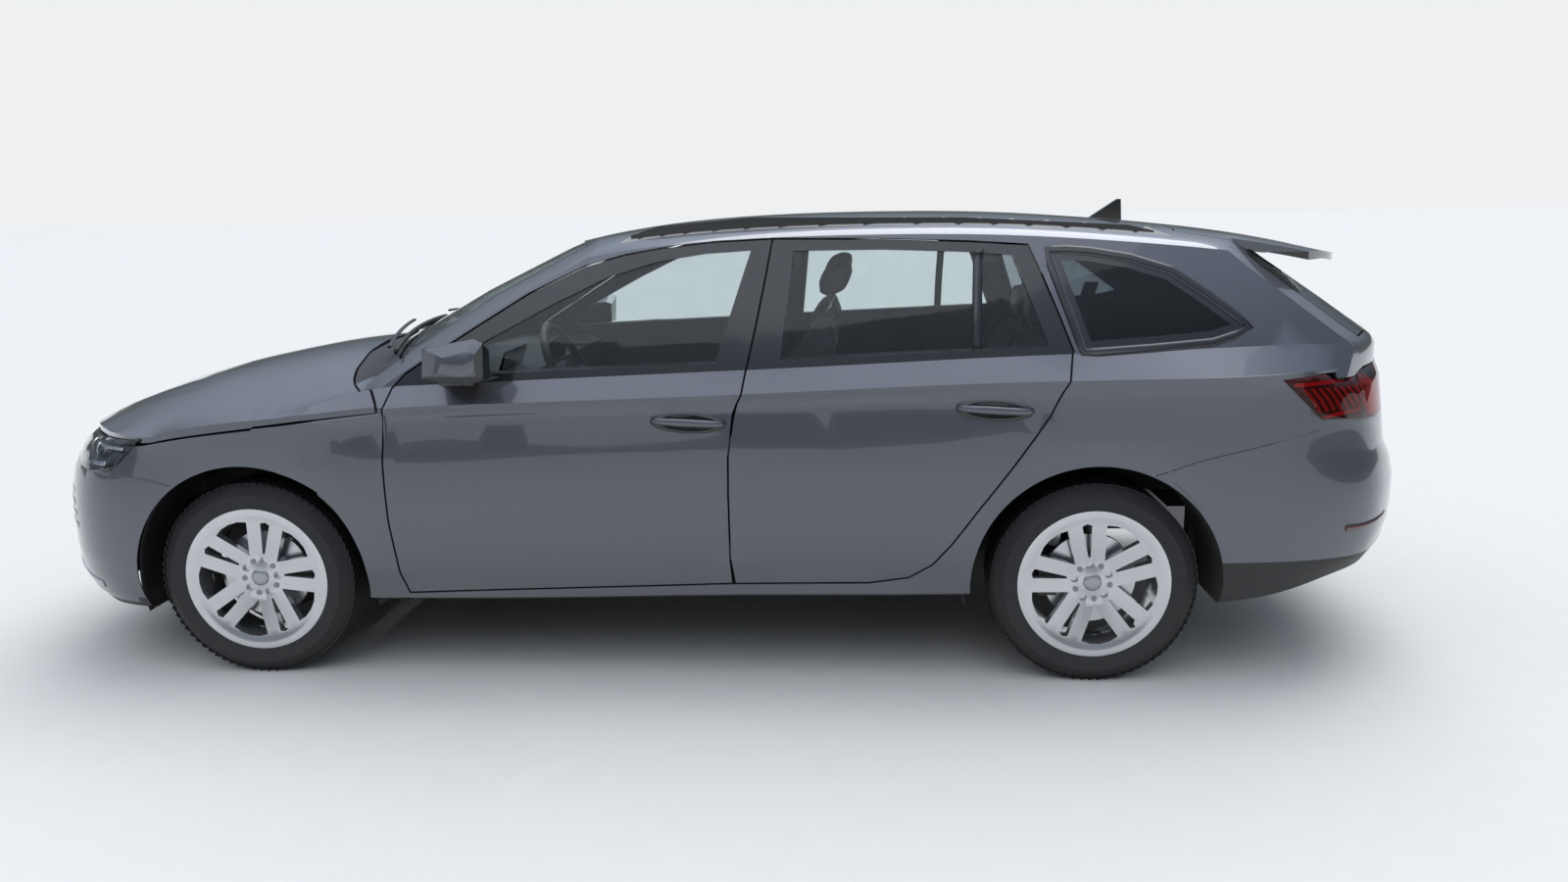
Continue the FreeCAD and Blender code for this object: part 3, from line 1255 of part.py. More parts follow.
floor_top = up(0.245) + seat_clearance
left_seat = seat(cushion_shares, back_shares, head_shares, out(0.16), out(0.7), out(0.13), floor_top,
                 (0.64, 0.45))
left_seat = solids_only(left_seat.common(inside))
save("front_seats", both(left_seat))
bench_shares = [(0.77, 0.3), (0.755, 0.36), (0.765, 0.4), (0.8, 0.415), (0.94, 0.41), (0.94, 0.4075), (0.9, 0.4075)]
bench_back_shares = [(0.88, 0.41), (0.94, 0.41), (0.975, 0.6), (0.985, 0.7), (0.97, 0.72), (0.95, 0.71), (0.91, 0.55)]
bench = side_prism(spots(bench_shares), -out(0.62), out(0.62))
bench_back = side_prism(spots(bench_back_shares), -out(0.62), out(0.62))
bench_heads = []
for middle_share in (-0.4, 0.0, 0.4):
    bench_heads.append(block(0.985, 0.96, middle_share - 0.12, middle_share + 0.12, 0.69, 0.8))
rear_seat = bench.fuse([bench_back] + bench_heads)
rear_seat = solids_only(rear_seat.common(inside).cut(house))
save("rear_seat", rear_seat)

# Door mirrors: a housing that tapers towards its outer end, on a short arm
mirror_rings = []
mirror_shares = [
    (0.985, [(0.238, 0.676), (0.238, 0.722), (0.3, 0.734), (0.309, 0.728), (0.309, 0.672), (0.29, 0.664)]),
    (1.07, [(0.24, 0.675), (0.243, 0.738), (0.302, 0.757), (0.312, 0.748), (0.31, 0.67), (0.285, 0.662)]),
    (1.095, [(0.262, 0.69), (0.268, 0.72), (0.298, 0.735), (0.304, 0.725), (0.303, 0.69), (0.285, 0.682)]),
]
for side, ring_shares in mirror_shares:
    ring = [Vector(along(station), out(side), up(rise)) for station, rise in ring_shares]
    mirror_rings.append(Part.makePolygon(ring + ring[:1]))
mirror_house = Part.makeLoft(mirror_rings, True, True)
mirror_arm = block(0.29, 0.25, 0.8, 1.0, 0.655, 0.676)
mirror = mirror_house.fuse(mirror_arm).cut(front_door_volume)
mirror = largest(mirror.cut(glass_outer))
save("mirror_left", mirror)
save("mirror_right", mirrored(mirror))

# Roof rails and aerial fin
rail_stations = [(0.456, 0.955), (0.49, 0.974), (0.6, 0.99), (0.85, 0.985), (1.1, 0.965), (1.175, 0.952),
                 (1.175, 0.9), (0.456, 0.9)]
roof_rail = side_prism(spots(rail_stations), out(0.635), out(0.665))
roof_top = arch_solid(-seat_clearance, -seat_clearance)
roof_rail = solids_only(roof_rail.cut(roof_top))
save("roof_rails", both(roof_rail))
fin_shares = [(1.085, 0.97), (1.205, 0.955), (1.2, 1.0215), (1.19, 1.022)]
fin_half = 14.0
fin = side_prism(spots(fin_shares), -fin_half, fin_half)
save("antenna_fin", solids_only(fin.cut(roof_top)))
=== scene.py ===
import json
import math
import bmesh
import bpy
from mathutils import Matrix, Vector
from mathutils.bvhtree import BVHTree

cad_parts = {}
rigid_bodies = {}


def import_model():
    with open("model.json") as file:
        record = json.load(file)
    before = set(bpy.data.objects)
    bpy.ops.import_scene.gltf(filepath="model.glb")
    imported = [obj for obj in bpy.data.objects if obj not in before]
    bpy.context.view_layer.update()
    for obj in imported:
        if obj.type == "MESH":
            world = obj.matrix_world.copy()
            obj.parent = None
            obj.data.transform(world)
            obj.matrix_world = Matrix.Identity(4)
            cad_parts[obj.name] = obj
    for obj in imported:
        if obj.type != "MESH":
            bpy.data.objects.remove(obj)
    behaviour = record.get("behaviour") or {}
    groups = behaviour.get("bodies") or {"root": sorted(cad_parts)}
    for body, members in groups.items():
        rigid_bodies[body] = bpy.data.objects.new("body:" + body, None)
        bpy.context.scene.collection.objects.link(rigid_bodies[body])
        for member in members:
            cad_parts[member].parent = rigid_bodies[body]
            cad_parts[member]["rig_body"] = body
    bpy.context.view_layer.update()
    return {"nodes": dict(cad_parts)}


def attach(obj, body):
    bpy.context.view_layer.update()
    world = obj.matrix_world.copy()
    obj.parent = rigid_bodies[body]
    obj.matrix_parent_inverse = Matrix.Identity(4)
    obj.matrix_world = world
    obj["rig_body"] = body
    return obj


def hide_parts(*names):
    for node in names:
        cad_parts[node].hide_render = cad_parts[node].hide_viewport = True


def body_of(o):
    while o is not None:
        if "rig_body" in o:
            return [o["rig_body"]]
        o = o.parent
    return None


for thing in list(bpy.data.objects):
    bpy.data.objects.remove(thing)
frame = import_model()
nodes = frame["nodes"]
scene = bpy.context.scene
sides = {"left": 1.0, "right": -1.0}

# where the axles stand and how far the ends reach, in metres, with x forward from the middle of the car
car = {"frontAxle": 1.4525, "rearAxle": -1.2335, "wheelbase": 2.686, "frontOverhang": 0.892, "rearOverhang": 1.111,
       "height": 1.468, "wheelRadius": 0.32, "wheelY": 0.7705}


def smoothCurve(points, steps):
    # Catmull-Rom through the points, open
    out = []
    pts = [Vector(p) for p in points]
    for i in range(len(pts) - 1):
        a, b, c, d = pts[max(i - 1, 0)], pts[i], pts[i + 1], pts[min(i + 2, len(pts) - 1)]
        for s in range(steps):
            t = s / steps
            out.append(0.5 * ((2 * b) + (c - a) * t + (2 * a - 5 * b + 4 * c - d) * t * t
                              + (3 * b - a - 3 * c + d) * t * t * t))
    out.append(pts[-1])
    return out


def ovalPoints(center, across, up, count, steps=None):
    # points of an oval with the half axes across and up; steps is the number to a full turn
    turns = [k * math.tau / (steps or count) for k in range(count)]
    return [tuple(c + a * math.cos(t) + u * math.sin(t) for c, a, u in zip(center, across, up)) for t in turns]


# nodes and their links, for materials and for Geometry Nodes
def setSockets(node, values):
    for label, value in dict(values).items():
        node.inputs[label].default_value = value


def feed(tree, node, sources):
    for label, source in dict(sources).items():
        tree.links.new(source, node.inputs[label])


def addNode(tree, kind, values=(), sources=(), **settings):
    node = tree.nodes.new(kind)
    for label, value in settings.items():
        setattr(node, label, value)
    setSockets(node, values)
    feed(tree, node, sources)
    return node


def newGroup(name, kind, inputs, outputs):
    # gives the tree, the keys of its inputs, what it is given and where its results go
    tree = bpy.data.node_groups.new(name, kind)
    keys = {}
    for label, socket, value in inputs:
        made = tree.interface.new_socket(name=label, in_out="INPUT", socket_type="NodeSocket" + socket)
        if value is not None:
            made.default_value = value
        keys[label] = made.identifier
    for label, socket in outputs:
        tree.interface.new_socket(name=label, in_out="OUTPUT", socket_type="NodeSocket" + socket)
    return tree, keys, addNode(tree, "NodeGroupInput").outputs, addNode(tree, "NodeGroupOutput")


plainColor = (0.1, 0.1, 0.1, 1)
dustColor = (0.24, 0.2, 0.16, 1)


def makeGrainGroup():
    # fine moulded grain: a height and a slow colour mottle
    tree, keys, given, result = newGroup(
        "surfaceGrain", "ShaderNodeTree",
        [("Vector", "Vector", None), ("Scale", "Float", 600.0), ("Mottle", "Float", 0.15),
         ("Color", "Color", plainColor)],
        [("Color", "Color"), ("Height", "Float")])
    cells = addNode(tree, "ShaderNodeTexVoronoi", (), {"Vector": given["Vector"], "Scale": given["Scale"]},
                    feature="SMOOTH_F1")
    slow = addNode(tree, "ShaderNodeTexNoise", {"Scale": 9.0, "Detail": 5.0}, {"Vector": given["Vector"]})
    amount = addNode(tree, "ShaderNodeMath", (), {0: slow.outputs["Fac"], 1: given["Mottle"]}, operation="MULTIPLY")
    shade = addNode(tree, "ShaderNodeMapRange", {"To Min": 1.0, "To Max": 0.6}, {"Value": amount.outputs[0]})
    scaled = addNode(tree, "ShaderNodeVectorMath", operation="SCALE")
    feed(tree, scaled, {0: given["Color"], "Scale": shade.outputs[0]})
    feed(tree, result, {"Color": scaled.outputs[0], "Height": cells.outputs["Distance"]})
    return tree


def makeDustGroup():
    # road dust that gathers low on the body, broken up by noise
    tree, keys, given, result = newGroup(
        "roadDust", "ShaderNodeTree",
        [("Vector", "Vector", None), ("Color", "Color", plainColor), ("Top", "Float", 0.5),
         ("Amount", "Float", 0.25)],
        [("Color", "Color")])
    split = addNode(tree, "ShaderNodeSeparateXYZ", (), {0: given["Vector"]})
    height = addNode(tree, "ShaderNodeMapRange", {"From Min": 0.08, "To Min": 1.0, "To Max": 0.0},
                     {"Value": split.outputs["Z"], "From Max": given["Top"]})
    cloud = addNode(tree, "ShaderNodeTexNoise", {"Scale": 14.0, "Detail": 8.0, "Roughness": 0.7},
                    {"Vector": given["Vector"]})
    both = addNode(tree, "ShaderNodeMath", (), {0: height.outputs[0], 1: cloud.outputs["Fac"]}, operation="MULTIPLY")
    amount = addNode(tree, "ShaderNodeMath", (), {0: both.outputs[0], 1: given["Amount"]}, operation="MULTIPLY",
                     use_clamp=True)
    mix = addNode(tree, "ShaderNodeMix", data_type="RGBA")
    setSockets(mix, {7: dustColor})
    feed(tree, mix, {0: amount.outputs[0], 6: given["Color"]})
    feed(tree, result, {"Color": mix.outputs[2]})
    return tree


def makeFlakeGroup():
    # tiny metallic flakes: each cell a little lighter or darker, and tilted
    tree, keys, given, result = newGroup(
        "paintFlake", "ShaderNodeTree",
        [("Vector", "Vector", None), ("Color", "Color", plainColor), ("Scale", "Float", 2600.0),
         ("Spread", "Float", 0.25)],
        [("Color", "Color"), ("Height", "Float")])
    cells = addNode(tree, "ShaderNodeTexVoronoi", (), {"Vector": given["Vector"], "Scale": given["Scale"]})
    split = addNode(tree, "ShaderNodeSeparateXYZ", (), {0: cells.outputs["Color"]})
    gain = addNode(tree, "ShaderNodeMath", {2: 0.88}, {0: split.outputs["X"], 1: given["Spread"]},
                   operation="MULTIPLY_ADD")
    scaled = addNode(tree, "ShaderNodeVectorMath", operation="SCALE")
    feed(tree, scaled, {0: given["Color"], "Scale": gain.outputs[0]})
    feed(tree, result, {"Color": scaled.outputs[0], "Height": split.outputs["Y"]})
    return tree


grainGroup, dustGroup, flakeGroup = makeGrainGroup(), makeDustGroup(), makeFlakeGroup()


def newFinish(name):
    finish = bpy.data.materials.new(name)
    finish.use_nodes = True
    tree = finish.node_tree
    return finish, tree, tree.nodes["Principled BSDF"], addNode(tree, "ShaderNodeTexCoord")


def useGroup(tree, group, place, values):
    return addNode(tree, "ShaderNodeGroup", values, {"Vector": place.outputs["Object"]}, node_tree=group)


def addBump(tree, shader, source, strength, distance):
    bump = addNode(tree, "ShaderNodeBump", {"Strength": strength, "Distance": distance}, {"Height": source})
    feed(tree, shader, {"Normal": bump.outputs[0]})


def paintFinish(name, color, metallic=0.72, rough=0.34, dust=0.22):
    finish, tree, shader, place = newFinish(name)
    flake = useGroup(tree, flakeGroup, place, {"Color": (*color, 1), "Scale": 2600.0, "Spread": 0.24})
    film = useGroup(tree, dustGroup, place, {"Top": 0.46, "Amount": dust})
    feed(tree, film, {"Color": flake.outputs["Color"]})
    feed(tree, shader, {"Base Color": film.outputs["Color"]})
    addBump(tree, shader, flake.outputs["Height"], 0.06, 0.0004)
    setSockets(shader, {"Metallic": metallic, "Roughness": rough, "Coat Weight": 1.0, "Coat Roughness": 0.03})
    return finish


def plasticFinish(name, color, rough=0.5, scale=700.0, bump=0.25, coat=0.0, dust=0.0, metallic=0.0):
    finish, tree, shader, place = newFinish(name)
    grain = useGroup(tree, grainGroup, place, {"Color": (*color, 1), "Scale": scale, "Mottle": 0.5})
    source = grain.outputs["Color"]
    if dust:
        film = useGroup(tree, dustGroup, place, {"Top": 0.55, "Amount": dust})
        feed(tree, film, {"Color": source})
        source = film.outputs["Color"]
    feed(tree, shader, {"Base Color": source})
    if bump:
        addBump(tree, shader, grain.outputs["Height"], bump, 0.0006)
    setSockets(shader, {"Roughness": rough, "Coat Weight": coat, "Coat Roughness": 0.05, "Metallic": metallic})
    return finish


def glassFinish(name, color):
    finish, tree, shader, place = newFinish(name)
    smear = useGroup(tree, grainGroup, place, {"Color": (*color, 1), "Scale": 40.0, "Mottle": 0.3})
    feed(tree, shader, {"Base Color": smear.outputs["Color"]})
    setSockets(shader, {"Roughness": 0.0, "Transmission Weight": 1.0, "IOR": 1.08, "Coat Weight": 0.6,
                        "Coat Roughness": 0.0})
    return finish


def clothFinish(name, color, weave=900.0):
    finish, tree, shader, place = newFinish(name)
    warp = addNode(tree, "ShaderNodeTexWave", {"Scale": weave / 6, "Distortion": 1.5},
                   {"Vector": place.outputs["Object"]}, bands_direction="DIAGONAL")
    grain = useGroup(tree, grainGroup, place, {"Color": (*color, 1), "Scale": weave, "Mottle": 0.8})
    feed(tree, shader, {"Base Color": grain.outputs["Color"]})
    both = addNode(tree, "ShaderNodeMath", (), {0: warp.outputs["Fac"], 1: grain.outputs["Height"]}, operation="ADD")
    addBump(tree, shader, both.outputs[0], 0.4, 0.0008)
    setSockets(shader, {"Roughness": 0.88, "Sheen Weight": 0.35, "Sheen Roughness": 0.4})
    return finish


finishes = {
    "paint": paintFinish("graphitePaint", (0.105, 0.112, 0.132)),
    "gloss": plasticFinish("glossBlack", (0.008, 0.009, 0.011), rough=0.16, bump=0.0, coat=0.6),
    "trim": plasticFinish("softTrim", (0.03, 0.031, 0.033), rough=0.6, scale=900, bump=0.3),
    "headliner": clothFinish("headliner", (0.36, 0.35, 0.33)),
    "under": plasticFinish("underSeal", (0.018, 0.018, 0.019), rough=0.8, scale=150, bump=0.5, dust=0.5),
    "black": plasticFinish("roughBlack", (0.02, 0.02, 0.022), rough=0.5, scale=500, bump=0.3, dust=0.12),
    "tyre": plasticFinish("tyreRubber", (0.016, 0.016, 0.018), rough=0.66, scale=350, bump=0.3, dust=0.12),
    "rim": plasticFinish("rimSilver", (0.66, 0.67, 0.69), rough=0.24, scale=1500, bump=0.02, coat=0.7, dust=0.15,
                         metallic=0.85),
    "steel": plasticFinish("brushedSteel", (0.3, 0.3, 0.31), rough=0.38, scale=900, bump=0.12, dust=0.3, metallic=0.95),
    "cast": plasticFinish("castIron", (0.1, 0.095, 0.09), rough=0.7, scale=300, bump=0.5, dust=0.4, metallic=0.6),
    "chrome": plasticFinish("satinChrome", (0.62, 0.63, 0.65), rough=0.16, scale=1200, bump=0.01, metallic=1.0),
    "silver": plasticFinish("silverTrim", (0.42, 0.43, 0.45), rough=0.3, scale=1200, bump=0.02, coat=0.4, metallic=0.8),
    "glass": glassFinish("clearGlass", (0.8, 0.86, 0.85)),
    "tinted": glassFinish("tintedGlass", (0.3, 0.34, 0.36)),
    "lens": glassFinish("lampLens", (0.93, 0.95, 0.97)),
    "redLens": glassFinish("redLens", (0.72, 0.03, 0.045)),
    "darkRed": plasticFinish("darkRed", (0.09, 0.004, 0.008), rough=0.2, scale=160, bump=0.3, coat=0.5),
    "redGlow": plasticFinish("redRib", (0.62, 0.05, 0.07), rough=0.15, scale=400, bump=0.2, coat=1.0),
    "white": plasticFinish("plateWhite", (0.62, 0.62, 0.6), rough=0.35, scale=900, bump=0.05, dust=0.15),
    "lampWhite": plasticFinish("lampReflector", (0.75, 0.76, 0.78), rough=0.12, scale=90, bump=0.2, metallic=1.0),
    "seat": clothFinish("seatCloth", (0.045, 0.046, 0.05)),
    "seatSide": plasticFinish("seatLeatherette", (0.03, 0.03, 0.032), rough=0.5, scale=420, bump=0.35),
    "belt": clothFinish("beltWebbing", (0.03, 0.03, 0.032), 1400),
    "screen": plasticFinish("screenGlass", (0.006, 0.007, 0.009), rough=0.06, bump=0.0, coat=1.0),
}
print("finishes made", len(finishes))


def meshBvh(names):
    verts, faces = [], []
    for name in names:
        mesh = nodes[name].data
        base = len(verts)
        verts += [v.co.copy() for v in mesh.vertices]
        faces += [[base + i for i in p.vertices] for p in mesh.polygons]
    return BVHTree.FromPolygons(verts, faces)


allTree = meshBvh(list(nodes))
skinTree = meshBvh([n for n in nodes if n.startswith((
    "body_shell", "door_", "front_fenders", "hood", "tailgate", "front_bumper", "rear_bumper", "window_", "windscreen",
    "quarter", "headlamps", "tail_lamps"))])


def opensOut(center, normal):
    # a face is outside when a ray from it, straight or leaning out, meets nothing
    start = center + normal * 0.004
    leans = ((0, math.copysign(0.6, center.y), 0.2), (0, 0, 0.7), (math.copysign(0.7, center.x), 0, 0.2))
    for way in (normal, *((normal + Vector(lean)).normalized() for lean in leans)):
        if way.dot(normal) > 0.2 and allTree.ray_cast(start, way)[0] is None:
            return True
    return False


def linkPiece(name, mesh, body, finish=None):
    piece = bpy.data.objects.new(name, mesh)
    scene.collection.objects.link(piece)
    if finish:
        mesh.materials.append(finishes[finish])
    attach(piece, body)
    return piece


def mergedCopy(node):
    bm = bmesh.new()
    bm.from_mesh(nodes[node].data)
    bmesh.ops.remove_doubles(bm, verts=bm.verts, dist=0.00006)
    return bm


def smoothCopy(node, finishNames, pick=None, angle=35.0, cuts=(), border=None):
    # pick(center, normal, outside) gives the place in finishNames; a cut is a plane that a finish ends on;
    # a border is its width, its finish and the way that the pane faces
    bm = mergedCopy(node)
    bmesh.ops.dissolve_degenerate(bm, dist=0.00002, edges=bm.edges)
    for point, way in cuts:
        bmesh.ops.bisect_plane(bm, geom=bm.verts[:] + bm.edges[:] + bm.faces[:], plane_co=point, plane_no=way,
                               dist=0.00002)
    bm.normal_update()
    for face in bm.faces:
        center = face.calc_center_median()
        face.material_index = pick(center, face.normal, opensOut(center, face.normal)) if pick else 0
        face.smooth = True
    if border:
        width, index, way = border
        pane = [f for f in bm.faces if f.normal.dot(way) > 0.35
                or (way.y and f.normal.y * math.copysign(1, f.calc_center_median().y) > 0.5)]
        for face in bmesh.ops.inset_region(bm, faces=pane, thickness=width, use_even_offset=True,
                                           use_boundary=True)["faces"]:
            face.material_index = index
    for edge in bm.edges:
        edge.smooth = False
        if len(edge.link_faces) == 2:
            first, second = edge.link_faces
            edge.smooth = (edge.calc_face_angle(0) < math.radians(angle)
                           and first.material_index == second.material_index)
    mesh = bpy.data.meshes.new(node + "Skin")
    bm.to_mesh(mesh)
    bm.free()
    piece = linkPiece(node + "Skin", mesh, body_of(nodes[node])[0])
    for finish in finishNames:
        mesh.materials.append(finishes[finish])
    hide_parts(node)
    return piece


# where the finishes of the body change: heights, the lower edge of the glass and two slanted lines at the tail
shellBands = {"headliner": 1.25, "trim": 0.5, "sill": 0.42, "cowl": ((1.0, 1.3), 0.7, 0.85)}
archBands = {"reach": 0.5, "reachY": 0.886, "deep": 0.42, "deepY": 0.86}
beltLine = [(1.2, 0.94), (0.95, 0.95), (0.55, 0.967), (-0.15, 0.997), (-0.75, 1.022), (-1.15, 1.039), (-1.45, 1.047),
            (-1.75, 1.056), (-2.3, 1.06)]
chin = 0.232
tailEdge = {"line": (Vector((-1.6275, 0, 0.299)), Vector((-2.1085, 0, 0.403))), "floor": 0.402}
tailBlade = {"line": (Vector((-1.6415, 0, 1.303)), Vector((-2.0715, 0, 1.051))), "foot": 1.04, "top": 1.325}


def lineNormal(line):
    return Vector((line[0].z - line[1].z, 0, line[1].x - line[0].x)).normalized()


edgeWay, bladeWay = lineNormal(tailEdge["line"]), lineNormal(tailBlade["line"])
if edgeWay.z < 0:
    edgeWay.negate()
if bladeWay.x > 0:
    bladeWay.negate()


def beltHeight(x):
    for (x1, z1), (x2, z2) in zip(beltLine, beltLine[1:]):
        if x >= x2:
            return z1 + (z2 - z1) * min(max((x - x1) / (x2 - x1), 0), 1)
    return beltLine[-1][1]


def inArch(center, normal):
    # a face that looks at a wheel from inside its arch
    for hubX in (car["frontAxle"], car["rearAxle"]):
        away = Vector((center.x - hubX, 0, center.z - car["wheelRadius"]))
        facing = normal.dot(away.normalized()) < -0.25
        if away.length < archBands["reach"] and abs(center.y) < archBands["reachY"] and facing:
            return True
        if away.length < archBands["deep"] and abs(center.y) < archBands["deepY"]:
            return True
    return False


def pickShell(center, normal, outside):
    (cowlBack, cowlFront), cowlHalf, cowlFoot = shellBands["cowl"]
    if inArch(center, normal):
        return 2
    if not outside:
        return 3 if center.z > shellBands["headliner"] else (1 if center.z > shellBands["trim"] else 2)
    if center.z < shellBands["sill"] and normal.z < -0.4:
        return 2
    if cowlBack < center.x < cowlFront and center.z > cowlFoot and abs(center.y) < cowlHalf and normal.z > -0.2:
        return 1
    return 0


def pickDoor(center, normal, outside):
    if not outside:
        return 1
    return 2 if center.z > beltHeight(center.x) + 0.004 else 0


def pickPanel(center, normal, outside):
    return 0 if outside and not inArch(center, normal) else 1


def pickRear(center, normal, outside):
    low = (center - tailEdge["line"][0]).dot(edgeWay) < 0 or center.z < tailEdge["floor"]
    return 1 if low else pickPanel(center, normal, outside)


def pickFront(center, normal, outside):
    return 1 if center.z < chin else pickPanel(center, normal, outside)


def pickGate(center, normal, outside):
    if not outside:
        return 1
    behind = (center - tailBlade["line"][0]).dot(bladeWay) > 0
    return 2 if behind and tailBlade["foot"] < center.z < tailBlade["top"] and normal.z < 0.8 else 0


def pickMirror(center, normal, outside):
    return 0 if center.z > 1.0 and outside and normal.x > -0.6 else 1


upright = Vector((0, 0, 1))
smoothCopy("body_shell", ["paint", "trim", "under", "headliner"], pickShell, 32)
for side in sides:
    smoothCopy("door_front_" + side, ["paint", "trim", "gloss"], pickDoor, 32)
    smoothCopy("door_rear_" + side, ["paint", "trim", "gloss"], pickDoor, 32)
for node in ("hood", "front_fenders"):
    smoothCopy(node, ["paint", "black"], pickPanel, 32)
smoothCopy("front_bumper", ["paint", "black"], pickFront, 32, cuts=[((0, 0, chin), upright)])
smoothCopy("rear_bumper", ["paint", "black"], pickRear, 32,
           cuts=[(tailEdge["line"][0], edgeWay), ((0, 0, tailEdge["floor"]), upright)])
smoothCopy("tailgate", ["paint", "black", "gloss"], pickGate, 32,
           cuts=[(tailBlade["line"][0], bladeWay), ((0, 0, tailBlade["foot"]), upright),
                 ((0, 0, tailBlade["top"]), upright)])
for side in sides:
    if "mirror_" + side in nodes:
        smoothCopy("mirror_" + side, ["paint", "gloss"], pickMirror, 60)
print("panels copied")

# solids with one finish all over
plain = {"grille": "gloss", "roof_rails": "gloss", "antenna_fin": "gloss", "front_structure": "cast", "radiator": "cast",
         "engine_block": "cast", "front_subframe": "cast", "knuckle_left": "cast", "knuckle_right": "cast",
         "rear_axle": "cast", "fuel_tank": "under", "exhaust": "steel", "dashboard": "trim", "steering_wheel": "seatSide"}
for node, finish in plain.items():
    if node in nodes:
        smoothCopy(node, [finish], angle=18 if node == "roof_rails" else 35)
# panes with a black border: its width and the way that the pane faces
bordered = {"windscreen": ("glass", 0.035, (1, 0, 0.3)), "tailgate_window": ("tinted", 0.04, (-1, 0, 0.3)),
            "quarter_windows": ("tinted", 0.02, (0, 1, 0))}
for node, (finish, width, way) in bordered.items():
    smoothCopy(node, [finish, "gloss"], border=(width, 1, Vector(way).normalized()))
for side in sides:
    smoothCopy("window_front_" + side, ["glass"])
    smoothCopy("window_rear_" + side, ["glass"])
for corner in ("front_left", "front_right", "rear_left", "rear_right"):
    smoothCopy("rim_" + corner, ["rim"], angle=28)
    smoothCopy("tyre_" + corner, ["tyre"], angle=40)


def landing(point, way, tree=None):
    return (tree or skinTree).ray_cast(point, way)[0]


def gridPiece(name, rows, body, finish, closed=False, thick=0.0, way=None, bevel=0.0):
    # faces between rows of points; they turn their backs to way, and thick gives them a wall
    mesh = bpy.data.meshes.new(name)
    count = len(rows[0])
    faces = []
    for r in range(len(rows) - 1):
        for c in range(count if closed else count - 1):
            d = (c + 1) % count
            faces.append((r * count + c, r * count + d, (r + 1) * count + d, (r + 1) * count + c))
    mesh.from_pydata([tuple(p) for row in rows for p in row], [], faces)
    bm = bmesh.new()
    bm.from_mesh(mesh)
    bmesh.ops.recalc_face_normals(bm, faces=bm.faces)
    if way is not None and sum((f.normal * f.calc_area() for f in bm.faces), Vector()).dot(way) > 0:
        bmesh.ops.reverse_faces(bm, faces=bm.faces)
    for face in bm.faces:
        face.smooth = True
    bm.to_mesh(mesh)
    bm.free()
    piece = linkPiece(name, mesh, body, finish)
    if thick:
        wall = piece.modifiers.new("wall", "SOLIDIFY")
        wall.thickness = thick
        wall.offset = -1.0
        wall.use_even_offset = True
    if bevel:
        soft = piece.modifiers.new("soft", "BEVEL")
        soft.width = bevel
        soft.segments = 2
    return piece


def laidStrip(name, lineA, lineB, across, way, body, finish, lift=0.0012, thick=0.0012, tree=None, closed=False,
              bevel=0.0):
    # rows between two lines, dropped on the skin along way and lifted back
    way = Vector(way).normalized()
    rows = []
    for r in range(across + 1):
        starts = [Vector(a).lerp(Vector(b), r / across) - way * 3.0 for a, b in zip(lineA, lineB)]
        hits = [landing(point, way, tree) for point in starts]
        known = [k for k, hit in enumerate(hits) if hit is not None]
        if not known:
            return None
        row = []
        for k, point in enumerate(starts):
            near = min(known, key=lambda other: abs(other - k))
            row.append(point + way * ((hits[near] - point).dot(way) - lift))
        rows.append(row)
    return gridPiece(name, rows, body, finish, closed=closed, thick=thick, way=way, bevel=bevel)


def bandStrip(name, line, shift, across, way, body, finish, steps=0, **options):
    # a strip between a line and the same line shifted, both smoothed when steps are given
    lines = [line, [tuple(p + s for p, s in zip(point, shift)) for point in line]]
    if steps:
        lines = [smoothCurve(points, steps) for points in lines]
    return laidStrip(name, *lines, across, way, body, finish, **options)


def crossStrip(name, end, low, high, half, steps, across, body, finish, **options):
    # a strip across the car, on its nose (end 1) or its tail (end -1)
    line = [(end * 3.0, -half + 2 * half * k / steps, low) for k in range(steps + 1)]
    return bandStrip(name, line, (0, 0, high - low), across, (-end, 0, 0), body, finish, **options)


def sideLine(points):
    return [(x, 0, z) for x, z in points]


def offsetLoop(points, gap):
    # (x, z) loop moved outwards
    area = sum(p[0] * q[1] - q[0] * p[1] for p, q in zip(points, points[1:] + points[:1]))
    turn = 1 if area > 0 else -1
    out = []
    for i, p in enumerate(points):
        a, b = points[i - 1], points[(i + 1) % len(points)]
        d = Vector((b[0] - a[0], b[1] - a[1])).normalized()
        out.append((p[0] + turn * d.y * gap, p[1] - turn * d.x * gap))
    return out


def densify(points, step):
    out = []
    for p, q in zip(points, points[1:] + points[:1]):
        n = max(int(math.hypot(q[0] - p[0], q[1] - p[1]) / step), 1)
        out += [(p[0] + (q[0] - p[0]) * k / n, p[1] + (q[1] - p[1]) * k / n) for k in range(n)]
    return out


def stationX(share):
    # 0 at the front axle, 1 at the rear axle, -1 at the nose and 2 at the tail
    if share < 0:
        return car["frontAxle"] - share * car["frontOverhang"]
    if share <= 1:
        return car["frontAxle"] - share * car["wheelbase"]
    return car["rearAxle"] - (share - 1) * car["rearOverhang"]


def carPoints(shares):
    return [(stationX(a), b * car["height"]) for a, b in shares]


surround = {"gap": 0.002, "width": 0.024, "step": 0.03,
            "loop": [(0.983, 0.719), (0.946, 0.911), (0.989, 0.905), (1.08, 0.891), (1.188, 0.865), (1.283, 0.817),
                     (1.391, 0.757), (1.301, 0.737), (1.151, 0.728)]}
quarterLoop = densify(carPoints(surround["loop"]), surround["step"])
inner = sideLine(offsetLoop(quarterLoop, surround["gap"]))
outer = sideLine(offsetLoop(quarterLoop, surround["gap"] + surround["width"]))
for side, sign in sides.items():
    laidStrip("quarterSurround_" + side, inner, outer, 3, (0, -sign, 0), "body", "gloss", closed=True)
print("surrounds laid")


